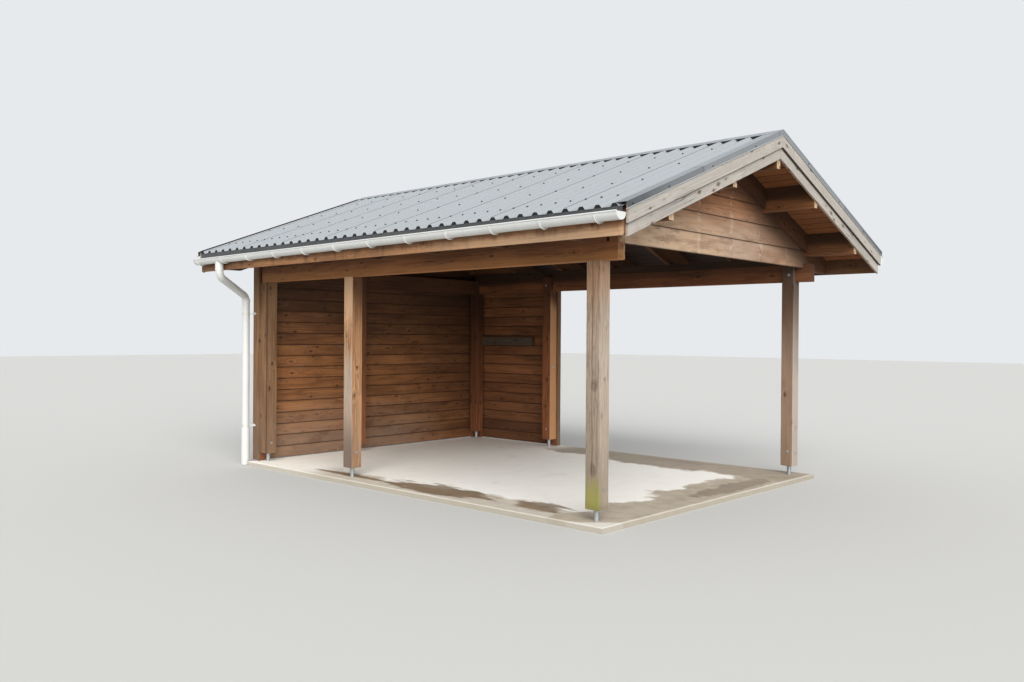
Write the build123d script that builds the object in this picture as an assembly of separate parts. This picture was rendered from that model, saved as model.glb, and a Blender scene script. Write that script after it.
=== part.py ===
from build123d import *
import math
import os

# Open timber carport with a gable roof of profiled sheets, in millimetres.
# X runs along the ridge towards the open gable, Y from the gutter side in front to the rear, Z up.
# The origin is at the middle of the roof's plan, on the ground under the floor slab.

# Plan of the frame and the roof
ROOF_LENGTH = 6440
NEAR_OVERHANG = 720
FAR_OVERHANG = 410
FRAME_WIDTH = 3840
PITCH = 21

# Floor slab
SLAB = 50
SLAB_SIDE_MARGIN = 130
SLAB_NEAR_MARGIN = 140
SLAB_FAR_MARGIN = 70
SLAB_ARRIS = 10

# Posts, their steel feet and the beams
POST = 145
POST_CLEAR = 105
ARRIS = 4
FOOT_TUBE_RADIUS = 24
FOOT_PLATE = 110
FOOT_PLATE_THICK = 5
BEAM_THICK = 100
BEAM_HEIGHT = 200
HEADROOM = 2240
BEAM_PAST_POST = 184
BEAM_INSET = 26
PLATE_HEIGHT = 90
FRONT_FAR_BAY = 1870
REAR_FAR_BAY = 1635
END_POST_Y = -442

# Roof timber
RAFTER_THICK = 45
RAFTER_DEPTH = 245
RAFTER_NOTCH = 45
TAIL_LIFT = 15
RAFTER_COUNT = 7
GABLE_PAST_POST = 70
LOOKOUT_WIDTH = 70
LOOKOUT_DEPTH = 220
MIDDLE_LOOKOUT_SHARE = 0.4375
EAVE_LOOKOUT_INSET = 50
BAND_DEPTH = 195
DECK_THICK = 22
BATTEN_HEIGHT = 38
BATTEN_WIDTH = 50
TOP_BATTEN = 85
SECOND_BATTEN = 510
LAST_BATTEN_GAP = 219
BATTEN_ROWS = 4
FASCIA_THICK = 28
FASCIA_REACH = 600
FASCIA_HEIGHT = 162
EAVE_DRIP = 25
BARGE_THICK = 22
BARGE_HEIGHT = 145
LOWER_BARGE_DROP = 98
LOWER_BARGE_SHORT = 25

# Sheet metal
SHEET = 1
SHEET_INSET = 40
WAVE_PITCH = 159
WAVE_HEIGHT = 25
WAVE_CREST = 34
WAVE_FLANK = 22
RIDGE_LEG = 170
VERGE_LEG = 110
VERGE_DROP = 52
VERGE_GAP = 4
EAVE_LEG = 90
EAVE_FOLD = 80

# Gutters and downpipes
GUTTER_RADIUS = 62.5
GUTTER_WALL = 1.5
GUTTER_LIFT = 6
GUTTER_FALL = 30
GUTTER_NEAR_INSET = 25
GUTTER_FAR_INSET = 70
BEAD_RADIUS = 7
STRAP_THICK = 3.5
STRAP_WIDTH = 25
STRAP_COUNT = 12
STRAP_NEAR_INSET = 230
STRAP_FAR_INSET = 171
PIPE_RADIUS = 45
PIPE_WALL = 1.2
PIPE_PAST_FRAME = 150
PIPE_OFF_FRAME = 115
PIPE_FOOT = 10
OUTLET_INSET = 178
NECK_TOP_DROP = 246
NECK_LOW_DROP = 464
NECK_BEND = 100
LOWER_CLIP = 445
UPPER_CLIP_DROP = 674
CLIP_WIDTH = 25
CLIP_THICK = 3
CLIP_ROD_RADIUS = 6
TOUCH = 0.3

# Walls and gables
BOARD_THICK = 22
WALL_BATTEN = 45
WALL_BATTEN_WIDTH = 95
WALL_BOARD = 145
GABLE_BOARD = 200
GABLE_LAP = 44
GROOVE = 4
TRIM_WIDTH = 70
FRONT_TRIM_WIDTH = 120
TRIM_THICK = 28
TRIM_RETURN = 30
RAIL_BOTTOM = 1450
RAIL_HEIGHT = 120
RAIL_THICK = 22
RAIL_LENGTH = 1035
CUT_GAP = 1
STUD = 70
STUD_LINE = 1035

# Lines and heights that follow from the sizes above
RISE = math.tan(math.radians(PITCH))
LEAN = math.cos(math.radians(PITCH))
NEAR_X = ROOF_LENGTH / 2 - NEAR_OVERHANG
FAR_X = -ROOF_LENGTH / 2 + FAR_OVERHANG
SIDE_Y = FRAME_WIDTH / 2
FRONT_MIDDLE_FACE = FAR_X + FRONT_FAR_BAY
REAR_MIDDLE_FACE = FAR_X + REAR_FAR_BAY
BEAM_Z = SLAB + HEADROOM
BEAM_TOP = BEAM_Z + BEAM_HEIGHT
PLATE_TOP = BEAM_TOP + PLATE_HEIGHT
HEEL_Z = PLATE_TOP + RAFTER_DEPTH / LEAN - RAFTER_NOTCH
FASCIA_Y = SIDE_Y + FASCIA_REACH
EAVE_Y = FASCIA_Y + EAVE_DRIP
FASCIA_TOP = HEEL_Z - FASCIA_REACH * RISE
FASCIA_FOOT = FASCIA_TOP - FASCIA_HEIGHT
LOOKOUT_LINES = (SIDE_Y * MIDDLE_LOOKOUT_SHARE, SIDE_Y - EAVE_LOOKOUT_INSET)
SHEET_BASE = DECK_THICK + BATTEN_HEIGHT
SHEET_TOP = SHEET_BASE + WAVE_HEIGHT + SHEET
BARGE_OUT = ROOF_LENGTH / 2 - SHEET - VERGE_GAP
BARGE_MID = BARGE_OUT - BARGE_THICK
BARGE_IN = BARGE_MID - BARGE_THICK
WALL_IN = WALL_BATTEN
WALL_OUT = WALL_BATTEN + BOARD_THICK
GABLE_IN = NEAR_X + GABLE_PAST_POST
GABLE_OUT = GABLE_IN + BOARD_THICK
BAND_OUT = GABLE_OUT + RAFTER_THICK
GUTTER_Y = FASCIA_Y + STRAP_THICK + GUTTER_RADIUS
GUTTER_Z = FASCIA_TOP + GUTTER_LIFT
GUTTER_NEAR_END = ROOF_LENGTH / 2 - GUTTER_NEAR_INSET
GUTTER_FAR_END = -ROOF_LENGTH / 2 + GUTTER_FAR_INSET
PIPE_X = FAR_X - PIPE_PAST_FRAME
PIPE_Y = SIDE_Y + PIPE_OFF_FRAME
OUTLET_X = FAR_X + OUTLET_INSET


def roof_z(y, lift=0):
    """Height of the roof plane at y, raised by lift square to the slope."""
    return HEEL_Z + (SIDE_Y - abs(y)) * RISE + lift / LEAN


def block(x0, x1, y0, y1, z0, z1):
    return Pos((x0 + x1) / 2, (y0 + y1) / 2, (z0 + z1) / 2) * Box(x1 - x0, y1 - y0, z1 - z0)


def prism(points, x0, x1):
    """An outline of (y, z) points, drawn out from x0 to x1."""
    face = make_face(Polyline(*[(x0, y, z) for y, z in points], close=True))
    return extrude(face, amount=x1 - x0, dir=(1, 0, 0))


def to_rear(shape):
    return mirror(shape, about=Plane.XZ)


def to_far(shape):
    return mirror(shape, about=Plane.YZ)


def both_sides(shapes):
    return list(shapes) + [to_rear(shape) for shape in shapes]


def save(name, *shapes):
    """Write one node, with each separate solid as a child of its own."""
    solids = []
    for shape in shapes:
        solids += list(shape.solids())
    part = solids[0] if len(solids) == 1 else Compound(children=solids)
    part.label = name
    export_step(part, f"parts/{name}.step")


def slope_bar(x0, x1, y_top, y_low, low_lift, high_lift):
    """A bar along the front slope between two lines over the roof plane, with plumb ends."""
    points = [(-y_low, roof_z(y_low, high_lift)), (-y_low, roof_z(y_low, low_lift)),
              (-y_top, roof_z(y_top, low_lift)), (-y_top, roof_z(y_top, high_lift))]
    return prism(points, x0, x1)


# Floor slab
slab = block(
    FAR_X - SLAB_FAR_MARGIN, NEAR_X + SLAB_NEAR_MARGIN,
    -SIDE_Y - SLAB_SIDE_MARGIN, SIDE_Y + SLAB_SIDE_MARGIN, 0, SLAB,
)
slab = chamfer(slab.faces().sort_by(Axis.Z)[-1].edges(), SLAB_ARRIS)


# Posts, notched so that an inner tongue runs up behind the beam
def post(x1, front=True):
    x0 = x1 - POST
    body = block(x0, x1, -SIDE_Y, -SIDE_Y + POST, SLAB + POST_CLEAR, BEAM_TOP)
    body = chamfer(body.edges().filter_by(Axis.Z), ARRIS)
    body -= block(x0, x1, -SIDE_Y - 1, -SIDE_Y + BEAM_THICK, BEAM_Z, BEAM_TOP + 1)
    return body if front else to_rear(body)


def end_post():
    y0 = END_POST_Y - POST / 2
    y1 = END_POST_Y + POST / 2
    body = block(FAR_X, FAR_X + POST, y0, y1, SLAB + POST_CLEAR, BEAM_TOP)
    body = chamfer(body.edges().filter_by(Axis.Z), ARRIS)
    return body - block(FAR_X - 1, FAR_X + BEAM_THICK, y0 - 1, y1 + 1, BEAM_Z, BEAM_TOP + 1)


def foot(x, y):
    plate_z = SLAB + POST_CLEAR - FOOT_PLATE_THICK
    plate = block(
        x - FOOT_PLATE / 2, x + FOOT_PLATE / 2, y - FOOT_PLATE / 2, y + FOOT_PLATE / 2,
        plate_z, SLAB + POST_CLEAR,
    )
    tube = Pos(x, y, (SLAB + plate_z) / 2) * Cylinder(FOOT_TUBE_RADIUS, plate_z - SLAB)
    return plate + tube


front_posts = {
    "front_near_post": NEAR_X,
    "front_middle_post": FRONT_MIDDLE_FACE,
    "front_far_post": FAR_X + POST,
}
rear_posts = {
    "rear_near_post": NEAR_X,
    "rear_middle_post": REAR_MIDDLE_FACE,
    "rear_far_post": FAR_X + POST,
}
post_line = SIDE_Y - POST / 2
feet = [foot(x1 - POST / 2, -post_line) for x1 in front_posts.values()]
feet += [foot(x1 - POST / 2, post_line) for x1 in rear_posts.values()]
feet.append(foot(FAR_X + POST / 2, END_POST_Y))


# Beams on the posts, and the plates that carry the rafters
def timber(x0, x1, y0, y1, z0, z1, axis=Axis.X):
    body = block(x0, x1, y0, y1, z0, z1)
    return chamfer(body.edges().filter_by(axis), ARRIS)


front_beam = timber(
    FAR_X + BEAM_INSET, NEAR_X + BEAM_PAST_POST, -SIDE_Y, -SIDE_Y + BEAM_THICK, BEAM_Z, BEAM_TOP,
)
end_beam = timber(
    FAR_X, FAR_X + BEAM_THICK, -SIDE_Y + POST, SIDE_Y - POST, BEAM_Z, BEAM_TOP, Axis.Y,
)
front_plate = block(
    FAR_X + BEAM_INSET, GABLE_IN, -SIDE_Y, -SIDE_Y + BEAM_THICK, BEAM_TOP, PLATE_TOP,
)

# Ridge beam and lookouts, which carry the barge boards past both gables
ridge_side = LOOKOUT_WIDTH / 2
ridge_bottom = roof_z(ridge_side, -RAFTER_DEPTH)
ridge_beam = prism(
    [(-ridge_side, ridge_bottom), (ridge_side, ridge_bottom), (ridge_side, roof_z(ridge_side)),
     (0, roof_z(0)), (-ridge_side, roof_z(ridge_side))],
    -BARGE_IN, BARGE_IN,
)


def lookout(line, x0, x1, gap=0):
    """A plumb board under the deck, its bottom level and never under the plate's top."""
    y0 = line - LOOKOUT_WIDTH / 2 - gap
    y1 = line + LOOKOUT_WIDTH / 2 + gap
    bottom = max(roof_z(line, -LOOKOUT_DEPTH), PLATE_TOP) - gap
    lift = gap * LEAN
    return prism(
        [(-y1, bottom), (-y0, bottom), (-y0, roof_z(y0, lift)), (-y1, roof_z(y1, lift))], x0, x1,
    )


rafter_step = (GABLE_IN - RAFTER_THICK - FAR_X) / (RAFTER_COUNT - 1)
rafter_faces = [FAR_X + rafter_step * i for i in range(RAFTER_COUNT)]
near_lookout_start = rafter_faces[-2] + RAFTER_THICK
far_lookout_start = rafter_faces[1]
near_lookouts = both_sides([lookout(line, near_lookout_start, BARGE_IN) for line in LOOKOUT_LINES])
far_lookouts = both_sides([lookout(line, -BARGE_IN, far_lookout_start) for line in LOOKOUT_LINES])
lookout_room = both_sides([lookout(line, -BARGE_IN, BARGE_IN, CUT_GAP) for line in LOOKOUT_LINES])


def cut_round_lookouts(body):
    for room in lookout_room:
        body -= room
    return body


# Rafters, notched over the plate and cut level above the fascia's foot
def rafter(x0):
    tail = FASCIA_Y - FASCIA_THICK
    level = FASCIA_FOOT + TAIL_LIFT
    level_y = SIDE_Y - (level - roof_z(SIDE_Y, -RAFTER_DEPTH)) / RISE
    inner = SIDE_Y - BEAM_THICK
    points = [
        (-ridge_side, roof_z(ridge_side)),
        (-tail, roof_z(tail)),
        (-tail, level),
        (-level_y, level),
        (-SIDE_Y, roof_z(SIDE_Y, -RAFTER_DEPTH)),
        (-SIDE_Y, PLATE_TOP),
        (-inner, PLATE_TOP),
        (-inner, roof_z(inner, -RAFTER_DEPTH)),
        (-ridge_side, ridge_bottom),
    ]
    return prism(points, x0, x0 + RAFTER_THICK)


front_rafters = [rafter(x0) for x0 in rafter_faces]
front_rafters[0] = cut_round_lookouts(front_rafters[0])
front_rafters[-1] = cut_round_lookouts(front_rafters[-1])

# Deck, battens and fascia
deck = slope_bar(-BARGE_IN, BARGE_IN, 0, FASCIA_Y, 0, DECK_THICK)
flash_in = FASCIA_Y - EAVE_LEG
flash_low = SHEET_BASE - SHEET - TOUCH


def batten(y0, top=SHEET_BASE):
    return slope_bar(-BARGE_IN, BARGE_IN, y0, y0 + BATTEN_WIDTH, DECK_THICK, top)


batten_step = (flash_in - LAST_BATTEN_GAP - SECOND_BATTEN) / (BATTEN_ROWS - 1)
front_battens = [batten(TOP_BATTEN)]
front_battens += [batten(SECOND_BATTEN + batten_step * i) for i in range(BATTEN_ROWS)]
front_battens.append(batten(flash_in, flash_low))
fascia_inner = FASCIA_Y - FASCIA_THICK
fascia = prism(
    [(-FASCIA_Y, FASCIA_FOOT), (-fascia_inner, FASCIA_FOOT),
     (-fascia_inner, roof_z(fascia_inner)), (-FASCIA_Y, FASCIA_TOP)],
    -BARGE_IN, BARGE_IN,
)

# Barge boards in two layers, the lower one behind the upper one
upper_top = SHEET_TOP - 12
upper_barge = slope_bar(
    BARGE_MID, BARGE_OUT, CUT_GAP, FASCIA_Y, upper_top - BARGE_HEIGHT, upper_top,
)
lower_top = upper_top - LOWER_BARGE_DROP
lower_barge = slope_bar(
    BARGE_IN, BARGE_MID, CUT_GAP, FASCIA_Y - LOWER_BARGE_SHORT, lower_top - BARGE_HEIGHT, lower_top,
)


# Roof sheets, one wave after another, on the battens
def on_slope(outline, y_top, y_low):
    """Draw an (x, lift) outline down the front slope, from y_top to y_low."""
    points = [(x, -y_top, roof_z(y_top, lift)) for x, lift in outline]
    face = make_face(Polyline(*points, close=True))
    run = y_low - y_top
    return extrude(face, amount=run / LEAN, dir=(0, -LEAN, -math.sin(math.radians(PITCH))))


def wave_outline():
    sheet_end = ROOF_LENGTH / 2 - SHEET_INSET
    count = round(2 * sheet_end / WAVE_PITCH)
    wave = 2 * sheet_end / count
    trough = wave - WAVE_CREST - 2 * WAVE_FLANK
    top = [(-sheet_end, SHEET_BASE + SHEET)]
    for i in range(count):
        x = -sheet_end + wave * i + trough / 2
        top.append((x, SHEET_BASE + SHEET))
        top.append((x + WAVE_FLANK, SHEET_TOP))
        top.append((x + WAVE_FLANK + WAVE_CREST, SHEET_TOP))
        top.append((x + 2 * WAVE_FLANK + WAVE_CREST, SHEET_BASE + SHEET))
    top.append((sheet_end, SHEET_BASE + SHEET))
    return top + [(x, lift - SHEET) for x, lift in reversed(top)]


front_sheet = on_slope(wave_outline(), 15, EAVE_Y)

# Verge flashings: a leg over the sheets and a drop over the barge boards
verge_x = ROOF_LENGTH / 2
verge_low = SHEET_TOP + TOUCH
verge_high = verge_low + SHEET
verge_outline = [
    (verge_x - VERGE_LEG, verge_low), (verge_x - SHEET, verge_low),
    (verge_x - SHEET, verge_high - VERGE_DROP), (verge_x, verge_high - VERGE_DROP),
    (verge_x, verge_high), (verge_x - VERGE_LEG, verge_high),
]
near_verge = on_slope(verge_outline, CUT_GAP, EAVE_Y)

# Ridge cap over the verge flashings
cap_low = verge_high + TOUCH
cap_high = cap_low + SHEET
cap_foot = RIDGE_LEG * LEAN
ridge_cap = prism(
    [(-cap_foot, roof_z(cap_foot, cap_low)), (0, roof_z(0, cap_low)),
     (cap_foot, roof_z(cap_foot, cap_low)), (cap_foot, roof_z(cap_foot, cap_high)),
     (0, roof_z(0, cap_high)), (-cap_foot, roof_z(cap_foot, cap_high))],
    -ROOF_LENGTH / 2, ROOF_LENGTH / 2,
)

# Eave flashings, from the lowest battens down into the gutters
flash_top = flash_low + SHEET
flash_y = FASCIA_Y + 18
flash_foot = roof_z(flash_y, flash_low) - EAVE_FOLD
front_flash = prism(
    [(-flash_in, roof_z(flash_in, flash_top)), (-flash_y, roof_z(flash_y, flash_top)),
     (-flash_y, flash_foot), (-flash_y + SHEET, flash_foot),
     (-flash_y + SHEET, roof_z(flash_y - SHEET, flash_low)),
     (-flash_in, roof_z(flash_in, flash_low))],
    GUTTER_FAR_END + GUTTER_WALL + CUT_GAP, BARGE_IN,
)


# Gutters: a half-round trough with a bead on its front edge and a cap at each end.
# Each is drawn level and then turned to fall towards its outlet.
def half_ring(outer, inner, x0, x1, trim=0):
    """The lower half of a ring round the gutter's axis, its front end stopped short by trim."""
    length = x1 - x0
    at = Pos((x0 + x1) / 2, -GUTTER_Y, GUTTER_Z) * Rot(0, 90, 0)
    ring = at * Cylinder(outer, length)
    if inner:
        ring -= at * Cylinder(inner, length + 2)
    reach = outer + 1
    ring -= block(x0 - 1, x1 + 1, -GUTTER_Y - reach, -GUTTER_Y + reach, GUTTER_Z, GUTTER_Z + reach)
    if trim:
        ring -= block(x0 - 1, x1 + 1, -GUTTER_Y - reach, -GUTTER_Y, GUTTER_Z - trim, GUTTER_Z + 1)
    return ring


def gutter():
    inner = GUTTER_RADIUS - GUTTER_WALL
    body = half_ring(GUTTER_RADIUS, inner, GUTTER_FAR_END, GUTTER_NEAR_END)
    bead_at = Pos((GUTTER_FAR_END + GUTTER_NEAR_END) / 2, -GUTTER_Y - GUTTER_RADIUS, GUTTER_Z)
    body += bead_at * Rot(0, 90, 0) * Cylinder(BEAD_RADIUS, GUTTER_NEAR_END - GUTTER_FAR_END)
    for x0 in (GUTTER_FAR_END, GUTTER_NEAR_END - GUTTER_WALL):
        body += half_ring(GUTTER_RADIUS, 0, x0, x0 + GUTTER_WALL)
    hole = Cylinder(PIPE_RADIUS - PIPE_WALL, GUTTER_RADIUS)
    body -= Pos(OUTLET_X, -GUTTER_Y, GUTTER_Z - GUTTER_RADIUS) * hole
    return body


def strap(x):
    """A gutter bracket: a half ring under the trough with a plate on the fascia."""
    x0 = x - STRAP_WIDTH / 2
    x1 = x + STRAP_WIDTH / 2
    outer = GUTTER_RADIUS + STRAP_THICK
    ring = half_ring(outer, GUTTER_RADIUS + TOUCH, x0, x1, BEAD_RADIUS + 2)
    plate = block(x0, x1, -FASCIA_Y - STRAP_THICK + TOUCH, -FASCIA_Y, GUTTER_Z - 50, GUTTER_Z)
    return ring + plate


gutter_slope = math.asin(GUTTER_FALL / (GUTTER_NEAR_END - GUTTER_FAR_END))
hinge = Pos(GUTTER_NEAR_END, 0, GUTTER_Z)
fall = hinge * Rot(0, -math.degrees(gutter_slope), 0) * hinge.inverse()
front_gutter = fall * gutter()
strap_step = (ROOF_LENGTH - STRAP_NEAR_INSET - STRAP_FAR_INSET) / (STRAP_COUNT - 1)
strap_first = ROOF_LENGTH / 2 - STRAP_NEAR_INSET
front_straps = [fall * strap(strap_first - strap_step * i) for i in range(STRAP_COUNT)]


# Downpipes: out of the gutter, back under the eave and down the wall's corner
outlet_z = GUTTER_Z - (GUTTER_NEAR_END - OUTLET_X) * math.sin(gutter_slope)


def pipe_run(radius):
    path = FilletPolyline(
        (OUTLET_X, -GUTTER_Y, outlet_z), (OUTLET_X, -GUTTER_Y, GUTTER_Z - NECK_TOP_DROP),
        (PIPE_X, -PIPE_Y, GUTTER_Z - NECK_LOW_DROP), (PIPE_X, -PIPE_Y, PIPE_FOOT),
        radius=NECK_BEND,
    )
    start = Plane(origin=path @ 0, z_dir=path % 0)
    return sweep(start * Circle(radius), path=path)


trough_room = Pos(OUTLET_X, -GUTTER_Y, GUTTER_Z) * Rot(0, 90, 0)
trough_room = fall * trough_room * Cylinder(GUTTER_RADIUS + TOUCH, 8 * PIPE_RADIUS)
front_pipe = pipe_run(PIPE_RADIUS) - pipe_run(PIPE_RADIUS - PIPE_WALL) - trough_room


# Pipe clips, each a ring with a rod to the corner board
front_clip_x = FAR_X - FRONT_TRIM_WIDTH / 2
rear_clip_x = FAR_X - TRIM_WIDTH / 2
front_trim_y = SIDE_Y + TRIM_THICK
rear_trim_y = SIDE_Y + WALL_OUT + TRIM_THICK
clip_levels = (SLAB + LOWER_CLIP, GUTTER_Z - UPPER_CLIP_DROP)


def clip(z, wall_x, wall_y):
    at = Pos(PIPE_X, -PIPE_Y, z)
    inner = PIPE_RADIUS + TOUCH
    ring = at * Cylinder(inner + CLIP_THICK, CLIP_WIDTH)
    run_x = wall_x - PIPE_X
    run_y = PIPE_Y - wall_y
    length = math.hypot(run_x, run_y)
    turn = math.degrees(math.atan2(run_y, run_x))
    rod = at * Rot(0, 0, turn) * Pos(length / 2 + 20, 0, 0) * Rot(0, 90, 0)
    rod = rod * Cylinder(CLIP_ROD_RADIUS, length + 40)
    rod -= block(PIPE_X, FAR_X + POST, -wall_y, -wall_y + POST, z - CLIP_WIDTH, z + CLIP_WIDTH)
    return ring + rod - at * Cylinder(inner, CLIP_WIDTH + 2)


front_clips = [clip(z, front_clip_x, front_trim_y) for z in clip_levels]
rear_clips = [to_rear(clip(z, rear_clip_x, rear_trim_y)) for z in clip_levels]


# Walls and gables of horizontal boards
def groove(x_face, y0, y1, z):
    """A V-shaped line between two boards on a face square to X."""
    points = [(x_face - GROOVE, z), (x_face, z - GROOVE), (x_face + GROOVE, z), (x_face, z + GROOVE)]
    face = make_face(Polyline(*[(x, y0, height) for x, height in points], close=True))
    return extrude(face, amount=y1 - y0, dir=(0, 1, 0))


def board_joints(first, last, pitch):
    count = int((last - first) / pitch)
    return [first + pitch * (i + 1) for i in range(count)]


wall_foot = SLAB + 10
end_x0 = FAR_X - WALL_OUT
end_x1 = FAR_X - WALL_IN
end_rear = SIDE_Y + WALL_OUT
end_cladding = prism(
    [(-SIDE_Y, wall_foot), (end_rear, wall_foot), (end_rear, roof_z(end_rear)),
     (0, roof_z(0)), (-SIDE_Y, roof_z(SIDE_Y))],
    end_x0, end_x1,
)
end_cladding = cut_round_lookouts(end_cladding) - ridge_beam
for z in board_joints(wall_foot, roof_z(0) - WALL_BOARD, WALL_BOARD):
    end_cladding -= groove(end_x0, -SIDE_Y - 1, end_rear + 1, z)

rear_x1 = REAR_MIDDLE_FACE
rear_top = roof_z(SIDE_Y + WALL_OUT, -RAFTER_DEPTH) - 2
rear_cladding = block(end_x1, rear_x1, SIDE_Y + WALL_IN, end_rear, wall_foot, rear_top)


def end_batten(y0, z1):
    return block(end_x1, FAR_X, y0, y0 + WALL_BATTEN_WIDTH, wall_foot, z1)


wall_battens = [
    end_batten(-SIDE_Y, BEAM_TOP),
    end_batten(END_POST_Y - WALL_BATTEN_WIDTH / 2, BEAM_TOP),
    end_batten(SIDE_Y - WALL_BATTEN_WIDTH, BEAM_TOP),
]
rear_batten_lines = (FAR_X + CUT_GAP, rear_x1 - WALL_BATTEN_WIDTH)
wall_battens += [
    block(x0, x0 + WALL_BATTEN_WIDTH, SIDE_Y, SIDE_Y + WALL_IN, wall_foot, rear_top)
    for x0 in rear_batten_lines
]

trim_top = roof_z(rear_trim_y, -RAFTER_DEPTH) - 2
wall_trims = [
    block(FAR_X - FRONT_TRIM_WIDTH, FAR_X, -front_trim_y, -SIDE_Y, wall_foot, trim_top),
    block(FAR_X - TRIM_WIDTH, FAR_X + TRIM_RETURN, end_rear, rear_trim_y, wall_foot, trim_top),
    block(rear_x1, rear_x1 + BOARD_THICK, SIDE_Y, end_rear, wall_foot, trim_top),
]

rail_x0 = FAR_X + POST
tool_rail = block(
    rail_x0, rail_x0 + RAIL_LENGTH, SIDE_Y - RAIL_THICK, SIDE_Y,
    SLAB + RAIL_BOTTOM, SLAB + RAIL_BOTTOM + RAIL_HEIGHT,
)

# Near gable: boards over the last rafters, and an outer band of timber below the deck
inner_beam = SIDE_Y - BEAM_THICK - CUT_GAP
gable_foot = BEAM_TOP - GABLE_LAP
over_beam = BEAM_TOP + CUT_GAP
gable_cladding = prism(
    [(-inner_beam, gable_foot), (inner_beam, gable_foot), (inner_beam, over_beam),
     (SIDE_Y, over_beam), (SIDE_Y, roof_z(SIDE_Y)), (0, roof_z(0)), (-SIDE_Y, roof_z(SIDE_Y)),
     (-SIDE_Y, over_beam), (-inner_beam, over_beam)],
    GABLE_IN, GABLE_OUT,
)
gable_cladding = cut_round_lookouts(gable_cladding) - ridge_beam
for z in board_joints(gable_foot, roof_z(0) - GABLE_BOARD, GABLE_BOARD):
    gable_cladding -= groove(GABLE_OUT, -SIDE_Y - 1, SIDE_Y + 1, z)

eave_line = LOOKOUT_LINES[-1] - LOOKOUT_WIDTH / 2
band = slope_bar(GABLE_OUT, BAND_OUT, ridge_side, eave_line, -BAND_DEPTH, 0)
gable_band = both_sides([cut_round_lookouts(band)])

frame_in = GABLE_IN - RAFTER_THICK
tie_end = SIDE_Y - BEAM_THICK
tie_top = roof_z(tie_end, -RAFTER_DEPTH) - 2
tie = block(frame_in, GABLE_IN, -tie_end, tie_end, BEAM_TOP, tie_top)


def gable_stud(y0):
    y1 = y0 + STUD
    points = [
        (y0, tie_top), (y1, tie_top), (y1, roof_z(y1, -RAFTER_DEPTH)), (y0, roof_z(y0, -RAFTER_DEPTH)),
    ]
    return prism(points, frame_in, GABLE_IN)


centre_stud = block(frame_in, GABLE_IN, -STUD / 2, STUD / 2, tie_top, ridge_bottom)
gable_frame = tie + centre_stud + gable_stud(-STUD_LINE - STUD / 2) + gable_stud(STUD_LINE - STUD / 2)

# One file for each node
os.makedirs("parts", exist_ok=True)
save("floor_slab", slab)
for name, x1 in front_posts.items():
    save(name, post(x1))
for name, x1 in rear_posts.items():
    save(name, post(x1, front=False))
save("end_wall_post", end_post())
save("post_feet", *feet)
save("front_beam", front_beam)
save("rear_beam", to_rear(front_beam))
save("end_beam", end_beam)
save("rafter_plates", *both_sides([front_plate]))
save("front_rafters", *front_rafters)
save("rear_rafters", *[to_rear(shape) for shape in front_rafters])
save("ridge_beam", ridge_beam)
save("near_lookouts", *near_lookouts)
save("far_lookouts", *far_lookouts)
save("front_roof_deck", deck)
save("rear_roof_deck", to_rear(deck))
save("roof_battens", *both_sides(front_battens))
save("front_roof_sheets", front_sheet)
save("rear_roof_sheets", to_rear(front_sheet))
save("ridge_cap", ridge_cap)
save("verge_flashings", *both_sides([near_verge, to_far(near_verge)]))
save("eave_flashings", *both_sides([front_flash]))
save("upper_barge_boards", *both_sides([upper_barge, to_far(upper_barge)]))
save("lower_barge_boards", *both_sides([lower_barge, to_far(lower_barge)]))
save("fascia_boards", *both_sides([fascia]))
save("front_gutter", front_gutter)
save("rear_gutter", to_rear(front_gutter))
save("gutter_brackets", *both_sides(front_straps))
save("front_downpipe", front_pipe)
save("rear_downpipe", to_rear(front_pipe))
save("pipe_clips", *front_clips, *rear_clips)
save("end_wall_cladding", end_cladding)
save("rear_wall_cladding", rear_cladding)
save("wall_battens", *wall_battens)
save("wall_trims", *wall_trims)
save("tool_rail", tool_rail)
save("near_gable_cladding", gable_cladding)
save("near_gable_band", *gable_band)
save("near_gable_frame", gable_frame)
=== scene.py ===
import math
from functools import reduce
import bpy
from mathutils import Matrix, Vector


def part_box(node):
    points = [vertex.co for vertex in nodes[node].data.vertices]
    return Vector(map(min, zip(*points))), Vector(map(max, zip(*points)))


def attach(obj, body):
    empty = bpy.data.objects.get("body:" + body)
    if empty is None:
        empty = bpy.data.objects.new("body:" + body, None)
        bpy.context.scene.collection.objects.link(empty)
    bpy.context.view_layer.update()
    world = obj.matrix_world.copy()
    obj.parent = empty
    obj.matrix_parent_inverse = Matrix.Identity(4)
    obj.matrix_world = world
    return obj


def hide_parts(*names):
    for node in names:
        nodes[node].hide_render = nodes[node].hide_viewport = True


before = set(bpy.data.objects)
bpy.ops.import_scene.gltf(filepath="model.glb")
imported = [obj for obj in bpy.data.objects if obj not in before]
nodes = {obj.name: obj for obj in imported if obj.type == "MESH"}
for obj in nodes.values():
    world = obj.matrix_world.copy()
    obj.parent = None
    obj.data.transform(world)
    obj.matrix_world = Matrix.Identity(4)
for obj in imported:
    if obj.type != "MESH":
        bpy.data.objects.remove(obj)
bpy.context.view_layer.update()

# %% [markdown]
# This lesson dresses an open timber carport, which is already built as a frame of plain solids.
# The solids hold the true sizes, so nothing here moves them: they only get finishes,
# and a few plain ones are exchanged for pieces with separate boards.
# All lengths are in metres, with X along the ridge, Y towards the rear and Z up.

# %% [markdown]
# The camera stands at eye height off the front corner, where the open gable and the gutter side
# are both in view. Its place and turn come from fitting the posts, beams and roof edges
# to their pixels, so the render can be laid over the photograph.
# A camera looks along its own -Z, so the matrix takes the right, the up and the reversed
# direction of view.

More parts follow.
